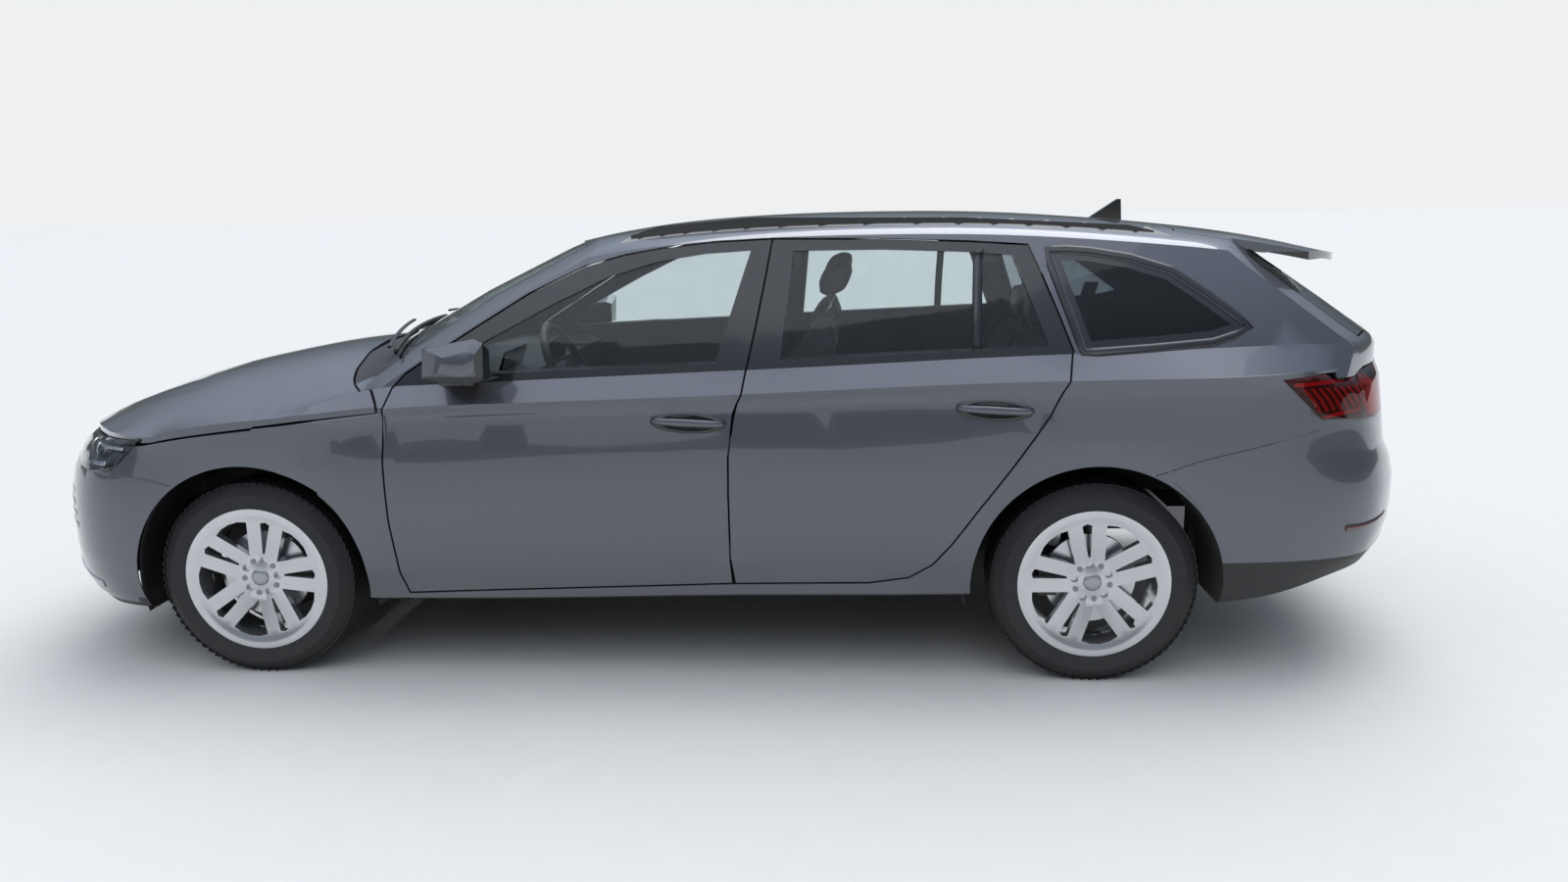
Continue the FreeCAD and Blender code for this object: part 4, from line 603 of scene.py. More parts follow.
def closeEnds(piece, most):
    bm = bmesh.new()
    bm.from_mesh(piece.data)
    bmesh.ops.holes_fill(bm, edges=bm.edges, sides=most)
    bmesh.ops.recalc_face_normals(bm, faces=bm.faces)
    bm.to_mesh(piece.data)
    bm.free()


def tubeAlong(name, points, radius, body, finish, around=8, squash=1.0):
    rows = []
    pts = [Vector(p) for p in points]
    for i, p in enumerate(pts):
        way = (pts[min(i + 1, len(pts) - 1)] - pts[max(i - 1, 0)]).normalized()
        side = way.cross(upright)
        side = side.normalized() if side.length > 0.01 else Vector((0, 1, 0))
        rows.append(ovalPoints(p, side * radius, side.cross(way) * radius * squash, around))
    piece = gridPiece(name, rows, body, finish, closed=True)
    closeEnds(piece, around + 2)
    return piece


def splitLamp(node, lensFinish, bowlFinish, depth, facing):
    # the outer faces become a thin lens and a bowl pushed inwards; the rest is the case
    bm = mergedCopy(node)
    bm.normal_update()
    body = body_of(nodes[node])[0]
    chosen = set()
    for face in bm.faces:
        center = face.calc_center_median()
        way = Vector((facing[0], math.copysign(facing[1], center.y), facing[2])).normalized()
        if opensOut(center, face.normal) and face.normal.dot(way) > 0.25:
            chosen.add(face)
    for name, wanted, finish in (("Lens", True, lensFinish), ("Bowl", True, bowlFinish), ("Case", False, "black")):
        part = bm.copy()
        part.faces.ensure_lookup_table()
        drop = [f for f, source in zip(part.faces, bm.faces) if (source in chosen) != wanted]
        bmesh.ops.delete(part, geom=drop, context="FACES")
        part.normal_update()
        if name == "Bowl":
            for v, way in zip(part.verts, [v.normal.copy() for v in part.verts]):
                v.co -= way * depth
        for f in part.faces:
            f.smooth = True
        mesh = bpy.data.meshes.new(node + name)
        part.to_mesh(mesh)
        part.free()
        piece = linkPiece(node + name, mesh, body, finish)
        if name == "Lens":
            wall = piece.modifiers.new("wall", "SOLIDIFY")
            wall.thickness = 0.002
            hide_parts(node)
    bm.free()


# each round light has its y, z and radius; each bar its line, height and lift
headLamp = {"depth": 0.036, "lights": ((0.735, 0.725, 0.024), (0.655, 0.722, 0.026), (0.575, 0.716, 0.022)),
            "sink": 0.03, "hollow": 0.7, "ring": 1.12, "wire": 0.0035,
            "bars": {"dayLight": ([(1.93, 0.695), (2.0, 0.692), (2.08, 0.692), (2.14, 0.692)], 0.011, -0.008),
                     "signalLight": ([(1.86, 0.745), (1.95, 0.745), (2.05, 0.742)], 0.008, -0.012)}}
tailLamp = {"depth": 0.014, "barHeight": 0.012, "barSink": 0.005, "ribSink": 0.006,
            "bars": {"High": [(-1.80, 0.935), (-1.95, 0.94), (-2.06, 0.942)],
                     "Low": [(-1.895, 0.83), (-1.96, 0.842), (-2.05, 0.85)]},
            "ribs": 9, "ribStart": -1.83, "ribPitch": 0.026, "ribWidth": 0.011,
            "rib": [(-0.055, 0.858), (-0.03, 0.895), (0, 0.928)],
            "gateRibs": 8, "gateStart": 0.36, "gatePitch": 0.04, "gateWidth": 0.014,
            "gateRib": [(0, 0.86), (0.012, 0.89), (0.024, 0.92)]}
splitLamp("headlamps", "lens", "gloss", headLamp["depth"], (1, 0.9, 0.2))
splitLamp("tail_lamps", "redLens", "darkRed", tailLamp["depth"], (-1, 0.9, 0))
splitLamp("tailgate_lamps", "redLens", "darkRed", tailLamp["depth"], (-1, 0.9, 0))
headTree, tailTree, gateLampTree = meshBvh(["headlamps"]), meshBvh(["tail_lamps"]), meshBvh(["tailgate_lamps"])
for side, sign in sides.items():
    way = (0, -sign, 0)
    for number, (y, z, radius) in enumerate(headLamp["lights"]):
        hit = headTree.ray_cast(Vector((3, sign * y, z)), Vector((-1, 0, 0)))[0]
        if hit is None:
            continue
        deep = radius * headLamp["hollow"]
        rows = []
        for bend in (0.03, 0.4, 0.8, 1.2, 1.5):
            wide = radius * math.sin(bend)
            rows.append(ovalPoints((hit.x - headLamp["sink"] - deep + deep * math.cos(bend), hit.y, hit.z),
                                   (0, wide, 0), (0, 0, wide), 24))
        gridPiece("headLight_%s_%d" % (side, number), rows, "body", "lampWhite", closed=True, way=Vector((-1, 0, 0)))
        wide = radius * headLamp["ring"]
        ring = ovalPoints((hit.x - headLamp["sink"] - deep, hit.y, hit.z), (0, wide, 0), (0, 0, wide), 25, 24)
        tubeAlong("headRing_%s_%d" % (side, number), ring, headLamp["wire"], "body", "chrome", around=6)
    for label, (line, height, lift) in headLamp["bars"].items():
        bandStrip(label + "_" + side, sideLine(line), (0, 0, height), 2, way, "body", "lampWhite", steps=6, lift=lift,
                  thick=0.003, tree=headTree)
    for label, line in tailLamp["bars"].items():
        bandStrip("tailBar%s_%s" % (label, side), sideLine(line), (0, 0, tailLamp["barHeight"]), 2, way, "body",
                  "redGlow", steps=6, lift=-tailLamp["barSink"], thick=0.003, tree=tailTree)
    for rib in range(tailLamp["ribs"]):
        x = tailLamp["ribStart"] - rib * tailLamp["ribPitch"]
        bandStrip("tailRib_%s_%d" % (side, rib), [(x + a, 0, z) for a, z in tailLamp["rib"]],
                  (-tailLamp["ribWidth"], 0, 0), 1, way, "body", "redGlow", steps=4, lift=-tailLamp["ribSink"],
                  thick=0.003, tree=tailTree)
    for rib in range(tailLamp["gateRibs"]):
        y = sign * (tailLamp["gateStart"] + rib * tailLamp["gatePitch"])
        bandStrip("gateRib_%s_%d" % (side, rib), [(-3, y + sign * a, z) for a, z in tailLamp["gateRib"]],
                  (0, sign * tailLamp["gateWidth"], 0), 1, (1, 0, 0), "rear_gate", "redGlow", steps=4,
                  lift=-tailLamp["ribSink"], thick=0.003, tree=gateLampTree)
print("lamps made")

# joints and trim on the flanks: the lower line, the height above it, rows, finish and how it is laid
hairline = {"lift": 0.0006, "thick": 0.0005}
sideTrim = {
    "rearBumperSeam_%s": ([(-1.3955, 0.675), (-1.5135, 0.717), (-1.6435, 0.749), (-1.8865, 0.802)], 0.0035, 1, "gloss",
                          hairline),
    "frontBumperSeam_%s": ([(1.6845, 0.639), (1.78, 0.66), (1.8965, 0.671)], 0.0035, 1, "gloss", hairline),
    "rearSlot_%s": ([(-1.99, 0.488), (-2.05, 0.486), (-2.12, 0.489), (-2.18, 0.494)], 0.022, 2, "gloss",
                    {"lift": 0.001}),
    "rearReflector_%s": ([(-1.99, 0.494), (-2.05, 0.492), (-2.12, 0.495), (-2.18, 0.5)], 0.01, 1, "darkRed",
                         {"lift": 0.0024}),
    "winglet_%s": ([(2.0, 0.275), (2.07, 0.285), (2.14, 0.3), (2.2, 0.318)], 0.024, 3, "silver",
                   {"lift": 0.004, "thick": 0.005, "bevel": 0.001})}
slats = {"count": 4, "line": [(2.13, 0.575), (2.18, 0.573), (2.23, 0.572)], "back": 0.012, "drop": 0.036,
         "height": 0.02}
for number in range(slats["count"]):
    line = [(x - number * slats["back"], z - number * slats["drop"]) for x, z in slats["line"]]
    sideTrim["frontSlat_%%s_%d" % number] = (line, slats["height"], 2, "gloss", {"thick": 0.002})
windowPost = {"line": [(-0.8545, 1.352), (-0.848, 1.19), (-0.846, 1.045)], "width": 0.03}
fuelFlap = {"place": (-1.03, 0, 0.86), "radius": 0.075, "joint": 0.0025}
for side, sign in sides.items():
    for name, (line, height, rows, finish, options) in sideTrim.items():
        bandStrip(name % side, sideLine(line), (0, 0, height), rows, (0, -sign, 0), "body", finish, steps=6, **options)
    bandStrip("windowPost_" + side, sideLine(windowPost["line"]), (-windowPost["width"], 0, 0), 2, (0, -sign, 0),
              "rear_door_" + side, "gloss", steps=8, lift=0.002, thick=0.004, tree=meshBvh(["window_rear_" + side]))
flapEdges = [ovalPoints(fuelFlap["place"], (r, 0, 0), (0, 0, r), 49, 48)
             for r in (fuelFlap["radius"] - fuelFlap["joint"], fuelFlap["radius"])]
laidStrip("fuelFlapJoint", *flapEdges, 1, (0, 1, 0), "body", "gloss", lift=0.0005, thick=0.0004)
print("trim laid")

# door handles: a gloss black oval laid on the door as painted shade of the handle recess, with a bowed bar over it
handle = {"places": {"front": (0.02, 0.838), "rear": (-0.912, 0.876)}, "half": 0.118, "tall": 0.031, "lean": 0.04,
          "recessShade": ((0.02, 0.0006), (0.4, 0.0007), (0.75, 0.0009), (1.0, 0.0012)),  # share of the size, lift
          "bow": 0.02, "foot": 0.002, "width": 0.0125, "depth": 0.006}
half = handle["half"]
for side, sign in sides.items():
    way = Vector((0, -sign, 0))
    for row, (cx, cz) in handle["places"].items():
        body = row + "_door_" + side
        # the black oval is painted shade: a flat sheet that stands in for the shadowed recess behind the bar
        rows = []
        for ratio, sink in handle["recessShade"]:
            ring = ovalPoints((cx, 0, cz), (half * ratio, 0, handle["lean"] * half * ratio),
                              (0, 0, handle["tall"] * ratio), 40)
            rows.append([landing(Vector(p) - way * 3, way) - way * sink for p in ring])
        gridPiece("handleRecessShade_%s_%s" % (row, side), rows, body, "gloss", closed=True, thick=0.001, way=way)
        middle = landing(Vector((cx, 0, cz)) - way * 3, way)
        bar = []
        for t in (-1 + k / 7 for k in range(15)):
            bow = handle["bow"] * (1 - t ** 6) + handle["foot"]
            spot = landing(Vector((cx + half * 0.97 * t, 0, cz + 0.004 + 0.006 * t)) - way * 3, way) or middle
            bar.append(ovalPoints((spot.x, spot.y - way.y * bow, spot.z), (0, -way.y * handle["depth"], 0),
                                  (0, 0, handle["width"] * (1 - 0.25 * t * t)), 10))
        closeEnds(gridPiece("handleBar_%s_%s" % (row, side), bar, body, "paint", closed=True), 12)
print("handles made")


# wheels: bolts and tread by Geometry Nodes, plain centre caps
def closeRing(tree, scatter, given, result):
    # the ring stands up about the Y axis and gets its finish
    real = addNode(tree, "GeometryNodeRealizeInstances", (), {0: scatter.outputs[0]})
    turn = addNode(tree, "GeometryNodeTransform", {"Rotation": (math.pi / 2, 0, 0)}, {0: real.outputs[0]})
    paint = addNode(tree, "GeometryNodeSetMaterial", (), {"Geometry": turn.outputs[0], "Material": given["Finish"]})
    feed(tree, result, {0: paint.outputs[0]})


def makeBoltTree():
    # small drums set round a circle
    tree, keys, given, result = newGroup(
        "boltRing", "GeometryNodeTree",
        [("Geometry", "Geometry", None), ("Count", "Int", 5), ("Circle", "Float", 0.056), ("Size", "Float", 0.0095),
         ("Depth", "Float", 0.02), ("Sides", "Int", 6), ("Finish", "Material", None)], [("Geometry", "Geometry")])
    circle = addNode(tree, "GeometryNodeMeshCircle", (), {"Vertices": given["Count"], "Radius": given["Circle"]})
    drum = addNode(tree, "GeometryNodeMeshCylinder", (),
                   {"Vertices": given["Sides"], "Radius": given["Size"], "Depth": given["Depth"]})
    scatter = addNode(tree, "GeometryNodeInstanceOnPoints", (),
                      {"Points": circle.outputs[0], "Instance": drum.outputs["Mesh"]})
    closeRing(tree, scatter, given, result)
    return tree, keys


def makeTreadTree():
    # tread blocks round the tyre: a bar stood on each point of a circle, turned to face outwards
    tree, keys, given, result = newGroup(
        "treadRing", "GeometryNodeTree",
        [("Geometry", "Geometry", None), ("Count", "Int", 70), ("Radius", "Float", 0.3185), ("Length", "Float", 0.02),
         ("Width", "Float", 0.03), ("Deep", "Float", 0.006), ("Slant", "Float", 0.5), ("Finish", "Material", None)],
        [("Geometry", "Geometry")])
    circle = addNode(tree, "GeometryNodeMeshCircle", (), {"Vertices": given["Count"], "Radius": given["Radius"]})
    size = addNode(tree, "ShaderNodeCombineXYZ", (), {0: given["Deep"], 1: given["Length"], 2: given["Width"]})
    block = addNode(tree, "GeometryNodeMeshCube", (), {"Size": size.outputs[0]})
    spin = addNode(tree, "ShaderNodeCombineXYZ", (), {0: given["Slant"]})
    skew = addNode(tree, "GeometryNodeTransform", (), {"Rotation": spin.outputs[0], 0: block.outputs["Mesh"]})
    where = addNode(tree, "GeometryNodeInputPosition")
    align = addNode(tree, "FunctionNodeAlignEulerToVector", (), {"Vector": where.outputs[0]}, axis="X", pivot_axis="Z")
    scatter = addNode(tree, "GeometryNodeInstanceOnPoints", (),
                      {"Points": circle.outputs[0], "Instance": skew.outputs[0], "Rotation": align.outputs[0]})
    closeRing(tree, scatter, given, result)
    return tree, keys


def bakeTree(name, made, values, body, finish, place):
    tree, keys = made
    holder = bpy.data.objects.new(name + "Holder", bpy.data.meshes.new(name + "Holder"))
    scene.collection.objects.link(holder)
    grow = holder.modifiers.new("grow", "NODES")
    grow.node_group = tree
    for label, value in (*values.items(), ("Finish", finishes[finish])):
        grow[keys[label]] = value
    deps = bpy.context.evaluated_depsgraph_get()
    mesh = bpy.data.meshes.new_from_object(holder.evaluated_get(deps))
    mesh.name = name
    holder.modifiers.remove(grow)
    bpy.data.objects.remove(holder)
    mesh.transform(place)
    return linkPiece(name, mesh, body, None if mesh.materials else finish)


# each row of tread has its y, width and slant; each ring of the cap its radius and rise
wheel = {"turns": {"front": -13, "rear": 8}, "boltY": 0.0555,
         "bolts": {"Count": 5, "Circle": 0.056, "Size": 0.0095, "Depth": 0.02, "Sides": 6},
         "tread": {"Count": 76, "Radius": 0.3178, "Length": 0.0205, "Deep": 0.0042},
         "treadRows": [(-0.066, 0.034, 0.5), (-0.024, 0.03, -0.4), (0.024, 0.03, 0.4), (0.066, 0.034, -0.5)],
         "capY": 0.0705, "cap": ((0.0005, 0.0045), (0.012, 0.0042), (0.022, 0.003), (0.028, 0.0005), (0.0285, -0.004))}
axles = {"front": car["frontAxle"], "rear": car["rearAxle"]}
boltTree, treadTree = makeBoltTree(), makeTreadTree()
for side, sign in sides.items():
    for row, x in axles.items():
        body = "%s_wheel_%s" % (row, side)
        hub = Matrix.Translation((x, sign * car["wheelY"], car["wheelRadius"]))
        turn = Matrix.Rotation(math.radians(wheel["turns"][row]) + math.pi / 2, 4, "Y")
        bakeTree("bolts_%s_%s" % (row, side), boltTree, wheel["bolts"], body, "steel",
                 hub @ Matrix.Translation((0, sign * wheel["boltY"], 0)) @ turn)
        for number, (y, width, slant) in enumerate(wheel["treadRows"]):
            bakeTree("tread_%s_%s_%d" % (row, side, number), treadTree,
                     {**wheel["tread"], "Width": width, "Slant": slant}, body, "tyre",
                     hub @ Matrix.Translation((0, y, 0)))
        rows = [ovalPoints((x, sign * (car["wheelY"] + wheel["capY"] + rise), car["wheelRadius"]), (r, 0, 0),
                           (0, 0, r), 32) for r, rise in wheel["cap"]]
        gridPiece("hubCap_%s_%s" % (row, side), rows, body, "silver", closed=True, way=Vector((0, -sign, 0)))
print("wheels dressed")

# arch liners: from and to in degrees, and the radius at each y
liner = {"spans": {"front": (-17, 193), "rear": (-12, 187)}, "steps": 44,
         "rows": ((0.845, 0.404), (0.8, 0.412), (0.66, 0.412), (0.53, 0.408))}
for side, sign in sides.items():
    for row, (first, last) in liner["spans"].items():
        turns = [math.radians(first + (last - first) * k / liner["steps"]) for k in range(liner["steps"] + 1)]
        rows = [[(axles[row] + r * math.cos(t), sign * y, car["wheelRadius"] + r * math.sin(t)) for t in turns]
                for y, r in liner["rows"]]
        gridPiece("archLiner_%s_%s" % (row, side), rows, "body", "black", thick=0.002)
print("liners made")


def prismMesh(name, profile, low, high, crown=0.0, rows=5):
    # profile (x, z) swept along y; both ends are drawn in
    bm = bmesh.new()
    rings = []
    middle = Vector((sum(p[0] for p in profile) / len(profile), sum(p[1] for p in profile) / len(profile)))
    for r in range(rows):
        t = r / (rows - 1)
        y = low + (high - low) * t
        pull = 1 - 0.1 * (abs(2 * t - 1) ** 4) + crown * (abs(2 * t - 1) ** 2 - 0.5)
        rings.append([bm.verts.new((middle.x + (x - middle.x) * pull, y, middle.y + (z - middle.y) * pull))
                      for x, z in profile])
    n = len(profile)
    for a, b in zip(rings, rings[1:]):
        for k in range(n):
            bm.faces.new((a[k], a[(k + 1) % n], b[(k + 1) % n], b[k]))
    bm.faces.new(rings[0])
    bm.faces.new(rings[-1])
    bmesh.ops.recalc_face_normals(bm, faces=bm.faces)
    mesh = bpy.data.meshes.new(name)
    bm.to_mesh(mesh)
    bm.free()
    return mesh


foam = {"voxel": 0.008, "quickVoxel": 0.02, "smoothing": 6, "pressure": 4.0, "frames": 16, "quality": 4,
        "stretch": 18, "bending": 0.8}


def softPad(name, profile, low, high, finish, swell=0.008, crown=0.0):
    # foam under a stretched cover: blown up by a short cloth simulation, by swell at most
    piece = bpy.data.objects.new(name, prismMesh(name, profile, low, high, crown))
    scene.collection.objects.link(piece)
    remesh = piece.modifiers.new("remesh", "REMESH")
    remesh.mode = "VOXEL"
    remesh.voxel_size = foam["voxel"]
    smooth = piece.modifiers.new("smooth", "SMOOTH")
    smooth.iterations = foam["smoothing"]
    deps = bpy.context.evaluated_depsgraph_get()
    solid = bpy.data.meshes.new_from_object(piece.evaluated_get(deps))
    piece.modifiers.clear()
    piece.data = solid
    start = [v.co.copy() for v in solid.vertices]
    cloth = piece.modifiers.new("cloth", "CLOTH")
    settings = cloth.settings
    settings.use_pressure = True
    settings.uniform_pressure_force = foam["pressure"]
    settings.effector_weights.gravity = 0
    settings.quality = foam["quality"]
    settings.tension_stiffness = foam["stretch"]
    settings.compression_stiffness = foam["stretch"]
    settings.bending_stiffness = foam["bending"]
    cloth.point_cache.frame_start = 1
    cloth.point_cache.frame_end = foam["frames"]
    for number in range(1, foam["frames"] + 1):
        scene.frame_set(number)
    deps = bpy.context.evaluated_depsgraph_get()
    blown = bpy.data.meshes.new_from_object(piece.evaluated_get(deps))
    for vert, base in zip(blown.vertices, start):
        move = vert.co - base
        if move.length > swell:
            vert.co = base + move.normalized() * swell
    piece.modifiers.clear()
    piece.data = blown
    scene.frame_set(1)
    piece.data.name = name
    piece.data.materials.clear()
    piece.data.materials.append(finishes[finish])
    for face in piece.data.polygons:
        face.use_smooth = True
    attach(piece, "body")
    return piece


def mirrorPad(source, name):
    mesh = source.data.copy()
    mesh.transform(Matrix.Scale(-1, 4, (0, 1, 0)))
    mesh.flip_normals()
    piece = linkPiece(name, mesh, "body")


# each pad's side view in shares of the wheelbase and the height, with its y range and how full it is
seats = {
    "front": {
        "cushion": [(0.435, 0.315), (0.432, 0.372), (0.465, 0.395), (0.55, 0.386), (0.6, 0.383), (0.648, 0.395),
                    (0.648, 0.315)],
        "back": [(0.598, 0.405), (0.65, 0.398), (0.67, 0.55), (0.703, 0.74), (0.697, 0.778), (0.682, 0.772),
                 (0.628, 0.6)],
        "head": [(0.678, 0.818), (0.69, 0.812), (0.712, 0.826), (0.722, 0.884), (0.706, 0.889), (0.688, 0.876)],
        "span": (0.155, 0.63), "headSpan": (0.155 + 0.12, 0.63 - 0.12), "crown": 0.12},
    "rear": {
        "cushion": [(0.777, 0.31), (0.762, 0.36), (0.77, 0.396), (0.8, 0.41), (0.93, 0.404), (0.93, 0.32)],
        "back": [(0.892, 0.42), (0.935, 0.418), (0.968, 0.6), (0.978, 0.695), (0.968, 0.712), (0.953, 0.702),
                 (0.918, 0.55)],
        "head": [(0.962, 0.71), (0.985, 0.71), (0.984, 0.795), (0.964, 0.795)],
        "span": (0.012, 0.545), "headSpan": (0.265, 0.465), "crown": 0.03}}
pads = {}
for row, seat in seats.items():
    for part, crown in (("cushion", seat["crown"] * 0.8), ("back", seat["crown"])):
        pads[row + part.capitalize()] = softPad(row + part.capitalize() + "_left", carPoints(seat[part]), *seat["span"],
                                                "seat", swell=0.012, crown=crown)
    pads[row + "Head"] = softPad(row + "Head_left", carPoints(seat["head"]), *seat["headSpan"], "seatSide")
for label, pad in pads.items():
    mirrorPad(pad, label + "_right")
softPad("rearHead_middle", carPoints(seats["rear"]["head"]), -0.1, 0.1, "seatSide")
print("pads made")


def plainPrism(name, profile, low, high, finish, bevel=0.006):
    piece = linkPiece(name, prismMesh(name, profile, low, high, rows=2), "body", finish)
    soft = piece.modifiers.new("soft", "BEVEL")
    soft.width = bevel
    soft.segments = 3
    for face in piece.data.polygons:
        face.use_smooth = False
    return piece


def padSeam(name, pad, sign, starts, way):
    # a raised seam where rays from the starts meet the left pad's cover
    mesh, way = pad.data, Vector(way)
    tree = BVHTree.FromPolygons([v.co for v in mesh.vertices], [p.vertices[:] for p in mesh.polygons])
    hits = [tree.ray_cast(Vector(start), way)[0] for start in starts]
    points = [(h.x - way.x * 0.001, sign * h.y, h.z - way.z * 0.001) for h in hits if h is not None]
    if len(points) > 3:
        tubeAlong(name, points, 0.0028, "body", "belt", around=6)


seatParts = {"base": [(0.44, 0.25), (0.44, 0.32), (0.65, 0.32), (0.65, 0.25)], "baseSpan": (0.17, 0.615),
             "shield": [(0.5, 0.29), (0.5, 0.345), (0.62, 0.37), (0.66, 0.42), (0.668, 0.3)], "shieldSpan": (0.6, 0.64),
             "stem": [(-0.4, 1.12), (-0.412, 1.16), (-0.42, 1.205)], "stemY": (0.3925, 0.055), "seams": (0.255, 0.53),
             "rearBase": [(0.79, 0.26), (0.79, 0.32), (0.93, 0.33), (0.93, 0.26)], "rearHalf": 0.54,
             "post": [(0.968, 0.69), (0.974, 0.69), (0.974, 0.73), (0.968, 0.73)], "postY": (-0.365, 0.0, 0.365)}
for side, sign in sides.items():
    low, high = sorted(sign * y for y in seatParts["baseSpan"])
    base = plainPrism("seatBase_" + side, carPoints(seatParts["base"]), low, high, "trim")
    if side == "left":
        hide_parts("front_seats")
    low, high = sorted(sign * y for y in seatParts["shieldSpan"])
    plainPrism("seatSide_" + side, carPoints(seatParts["shield"]), low, high, "trim", 0.012)
    stemY, half = seatParts["stemY"]
    for number, offset in enumerate((-half, half)):
        tubeAlong("headStem_%s_%d" % (side, number), [(x, sign * stemY + offset, z) for x, z in seatParts["stem"]],
                  0.006, "body", "chrome")
    for number, y in enumerate(seatParts["seams"]):
        padSeam("seatSeam_%s_%d" % (side, number), pads["frontCushion"], sign,
                [(0.27 - 0.025 * k, y, 1.2) for k in range(16)], (0, 0, -1))
        padSeam("backSeam_%s_%d" % (side, number), pads["frontBack"], sign,
                [(0.6, y, 0.66 + 0.027 * k) for k in range(18)], (-1, 0, 0))
rearBase = plainPrism("rearSeatBase", carPoints(seatParts["rearBase"]), -seatParts["rearHalf"], seatParts["rearHalf"],
                      "trim")
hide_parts("rear_seat")
for number, y in enumerate(seatParts["postY"]):
    plainPrism("rearHeadPost_%d" % number, carPoints(seatParts["post"]), y - 0.05, y + 0.05, "trim", 0.002)

# seat belts: points of the left strap and half its width
belts = {"front": ([(-0.24, 0.695, 1.21), (-0.22, 0.715, 1.0), (-0.19, 0.722, 0.75), (-0.17, 0.7, 0.46)], 0.023),
         "rear": ([(-1.24, 0.62, 1.24), (-1.2, 0.6, 1.08), (-1.18, 0.585, 0.9), (-1.1, 0.57, 0.68)], 0.022)}
beltGuide = {"shape": [(-0.27, 1.19), (-0.21, 1.19), (-0.215, 1.235), (-0.265, 1.235)], "span": (0.69, 0.71)}
for side, sign in sides.items():
    for row, (points, half) in belts.items():
        line = smoothCurve([(x, sign * y, z) for x, y, z in points], 8)
        gridPiece("%sBelt_%s" % (row, side), [[p + Vector((shift, 0, 0)) for p in line] for shift in (half, 0, -half)],
                  "body", "belt", thick=0.0016)
    plainPrism("beltGuide_" + side, beltGuide["shape"], *sorted(sign * y for y in beltGuide["span"]), "trim", 0.004)
print("seats dressed")

screens = {"centreScreen": ([(0.655, 0.9), (0.667, 0.9), (0.64, 1.02), (0.628, 1.02)], -0.125, 0.125),
           "driverScreen": ([(0.72, 0.935), (0.73, 0.935), (0.7, 1.02), (0.69, 1.02)], 0.24, 0.5)}
for name, (shape, low, high) in screens.items():
    plainPrism(name, shape, low, high, "screen", 0.003)
wipers = {"long": [(1.025, 0.62), (1.055, 0.4), (1.07, 0.2), (1.075, -0.02)],
          "short": [(1.07, -0.1), (1.06, -0.3), (1.03, -0.52)]}
screenTree = meshBvh(["windscreen", "body_shell", "hood"])
for label, line in wipers.items():
    hits = [screenTree.ray_cast(p, -upright)[0] for p in smoothCurve([(x, y, 3.0) for x, y in line], 8)]
    hits = [h + Vector((0.004, 0, 0.014)) for h in hits if h is not None]
    if len(hits) > 3:
        tubeAlong("wiperBlade_" + label, hits, 0.007, "body", "black", squash=1.4)
        arm = [h + Vector((0.02 + 0.03 * k / len(hits), 0, 0.016)) for k, h in enumerate(hits[: len(hits) * 2 // 3])]
        tubeAlong("wiperArm_" + label, arm, 0.0075, "body", "black", squash=0.6)

# blank plates, the tailgate's grip and the high lamp: low and high edge, half width, finish and lift
noseTree, grilleTree = meshBvh(["front_bumper", "grille"]), meshBvh(["grille"])
tailStrips = {"rearPlate": (0.70, 0.81, 0.26, "white", 0.006), "rearPlateFrame": (0.694, 0.816, 0.267, "black", 0.003),
              "gateHandle": (0.832, 0.852, 0.3, "gloss", 0.004)}
noseStrips = {"frontPlate": (0.395, 0.505, 0.26, "white", 0.014),
              "frontPlateHolder": (0.385, 0.515, 0.27, "black", 0.01)}
for name, (low, high, half, finish, lift) in tailStrips.items():
    crossStrip(name, -1, low, high, half, 12, 2, "rear_gate", finish, lift=lift, thick=0.003, bevel=0.001)
crossStrip("highStopLamp", -1, 1.318, 1.33, 0.17, 10, 1, "rear_gate", "redGlow", lift=0.001)
for name, (low, high, half, finish, lift) in noseStrips.items():
    crossStrip(name, 1, low, high, half, 12, 2, "body", finish, lift=lift, thick=0.003, bevel=0.001, tree=noseTree)
grilleRibs = {"count": 30, "start": -0.377, "pitch": 0.026, "width": 0.008, "foot": 0.585, "step": 0.013, "steps": 10}
for number in range(grilleRibs["count"]):
    y = grilleRibs["start"] + grilleRibs["pitch"] * number
    low = [(3, y, grilleRibs["foot"] + grilleRibs["step"] * k) for k in range(grilleRibs["steps"] + 1)]
    bandStrip("grilleRib_%02d" % number, low, (0, grilleRibs["width"], 0), 1, (-1, 0, 0), "body", "gloss", lift=0.006,
              thick=0.007, tree=grilleTree)
for name, low in (("grilleEdgeLow", 0.574), ("grilleEdgeHigh", 0.72)):
    crossStrip(name, 1, low, low + 0.007, 0.4, 24, 1, "body", "silver", lift=0.004, thick=0.004, tree=grilleTree)
print("small parts made")

# each sun has its aim, power and width in degrees; each band of the sky its place and colour
stage = {"floorSize": 300.0, "floorZ": -0.0005, "floorColor": (0.7, 0.685, 0.65, 1),
         "suns": (("sunLight", (0.18, 0.42, -0.9), 1.7, 50), ("softLight", (-0.2, -0.35, -0.92), 0.8, 80)),
         "sky": ((0.5, (0.2, 0.19, 0.17, 1)), (0.53, (0.1, 0.115, 0.11, 1)), (0.6, (0.2, 0.24, 0.28, 1))),
         "skyLow": (0.46, (0.4, 0.36, 0.32, 1)), "skyHigh": (0.78, (0.72, 0.82, 1.0, 1)), "skyPower": 0.85,
         "backdrop": (0.86, 0.87, 0.88, 1)}


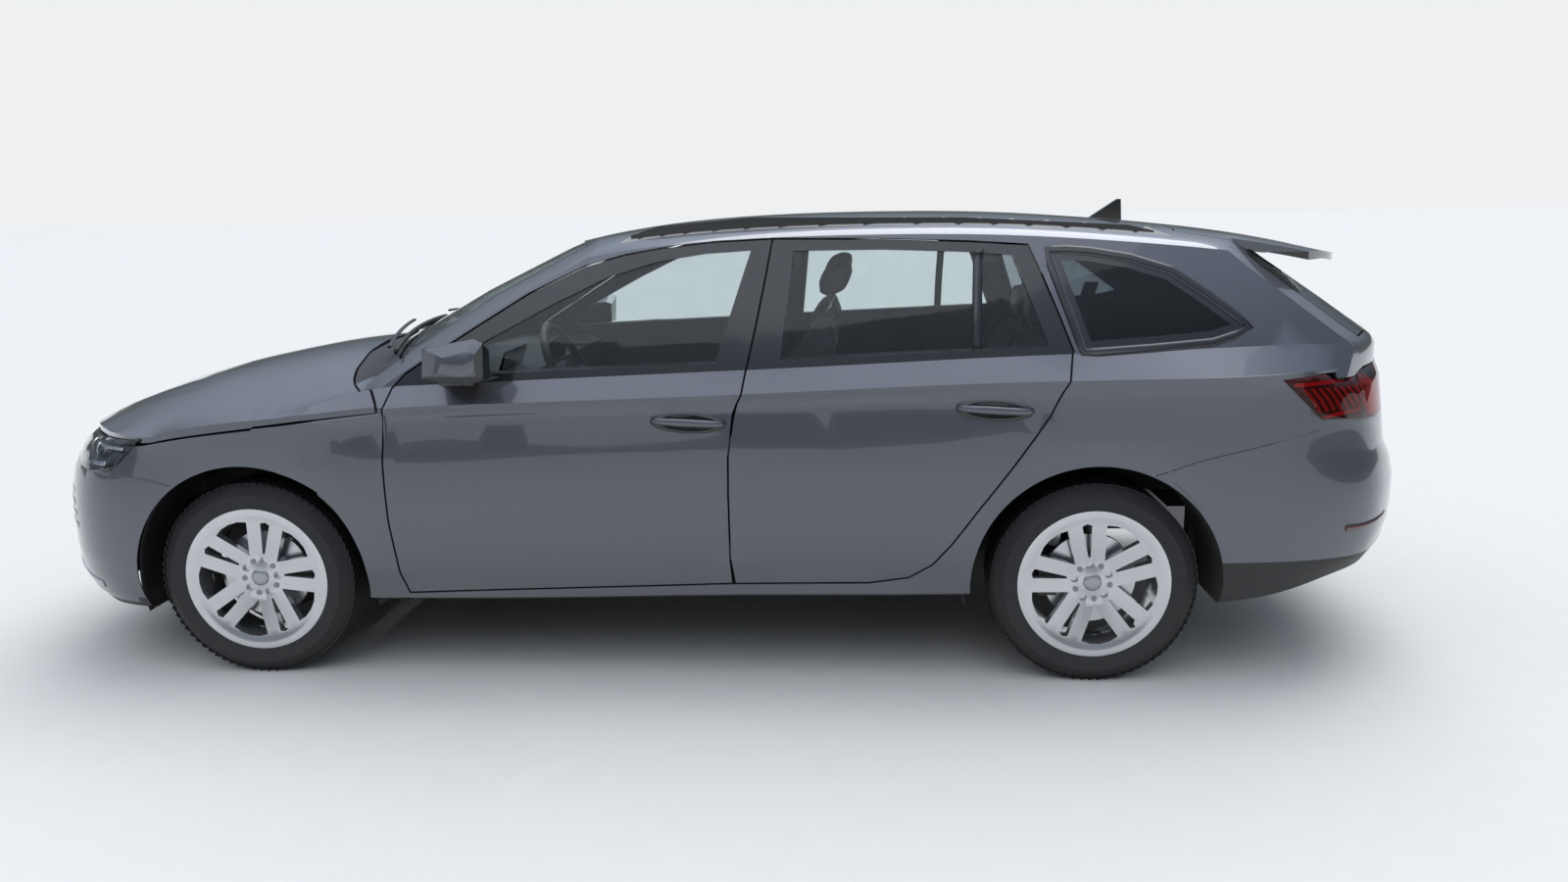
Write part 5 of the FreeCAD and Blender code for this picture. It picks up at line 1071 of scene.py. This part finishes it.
def makeFloor():
    size, z = stage["floorSize"], stage["floorZ"]
    mesh = bpy.data.meshes.new("studioFloor")
    mesh.from_pydata([(-size, -size, z), (size, -size, z), (size, size, z), (-size, size, z)], [], [(0, 1, 2, 3)])
    floor = bpy.data.objects.new("studioFloor", mesh)
    scene.collection.objects.link(floor)
    finish, tree, shader, place = newFinish("paleFloor")
    grain = useGroup(tree, grainGroup, place, {"Color": stage["floorColor"], "Scale": 60.0, "Mottle": 0.12})
    feed(tree, shader, {"Base Color": grain.outputs["Color"]})
    setSockets(shader, {"Roughness": 0.8})
    mesh.materials.append(finish)


def makeLight():
    # two wide suns, and a sky that the paint mirrors; the camera sees a pale backdrop in its place
    for name, aim, power, spread in stage["suns"]:
        data = bpy.data.lights.new(name, "SUN")
        data.angle = math.radians(spread)
        data.energy = power
        lamp = bpy.data.objects.new(name, data)
        lamp.location = (0, 0, 8)
        lamp.rotation_euler = Vector(aim).to_track_quat("-Z", "Y").to_euler()
        scene.collection.objects.link(lamp)
    scene.world = bpy.data.worlds.new("studioWorld")
    scene.world.use_nodes = True
    tree = scene.world.node_tree
    place = addNode(tree, "ShaderNodeTexCoord")
    split = addNode(tree, "ShaderNodeSeparateXYZ", (), {0: place.outputs["Generated"]})
    shift = addNode(tree, "ShaderNodeMath", {1: 0.5, 2: 0.5}, {0: split.outputs["Z"]}, operation="MULTIPLY_ADD")
    ramp = addNode(tree, "ShaderNodeValToRGB", (), {0: shift.outputs[0]})
    bands = ramp.color_ramp.elements
    for band, (spot, tint) in zip(bands, (stage["skyLow"], stage["skyHigh"])):
        band.position, band.color = spot, tint
    for spot, tint in stage["sky"]:
        bands.new(spot).color = tint
    sky = tree.nodes["Background"]
    setSockets(sky, {1: stage["skyPower"]})
    feed(tree, sky, {0: ramp.outputs[0]})
    pale = addNode(tree, "ShaderNodeBackground", {0: stage["backdrop"]})
    ray = addNode(tree, "ShaderNodeLightPath")
    mix = addNode(tree, "ShaderNodeMixShader", (),
                  {0: ray.outputs["Is Camera Ray"], 1: sky.outputs[0], 2: pale.outputs[0]})
    feed(tree, tree.nodes["World Output"], {0: mix.outputs[0]})


makeFloor()
makeLight()

# the camera of the photograph: degrees of yaw, down and roll, and the lens in millimetres
view = {"place": (-0.4875, 4.307, 1.47), "yaw": 3.56, "down": 11.35, "roll": -0.78, "lens": 26.2}
yaw, down, roll = (math.radians(view[k]) for k in ("yaw", "down", "roll"))
ahead = Vector((math.sin(yaw) * math.cos(down), -math.cos(yaw) * math.cos(down), -math.sin(down)))
right = ahead.cross(upright).normalized()
above = right.cross(ahead)
rightRolled = math.cos(roll) * right + math.sin(roll) * above
aboveRolled = -math.sin(roll) * right + math.cos(roll) * above
cameraData = bpy.data.cameras.new("photoCamera")
cameraData.lens = view["lens"]
cameraData.sensor_width = 36.0
camera = bpy.data.objects.new("photoCamera", cameraData)
turned = Matrix((rightRolled, aboveRolled, -ahead)).transposed().to_4x4()
camera.matrix_world = Matrix.Translation(view["place"]) @ turned
scene.collection.objects.link(camera)
scene.camera = camera
scene.view_settings.view_transform = "Standard"
print("stage and camera set")
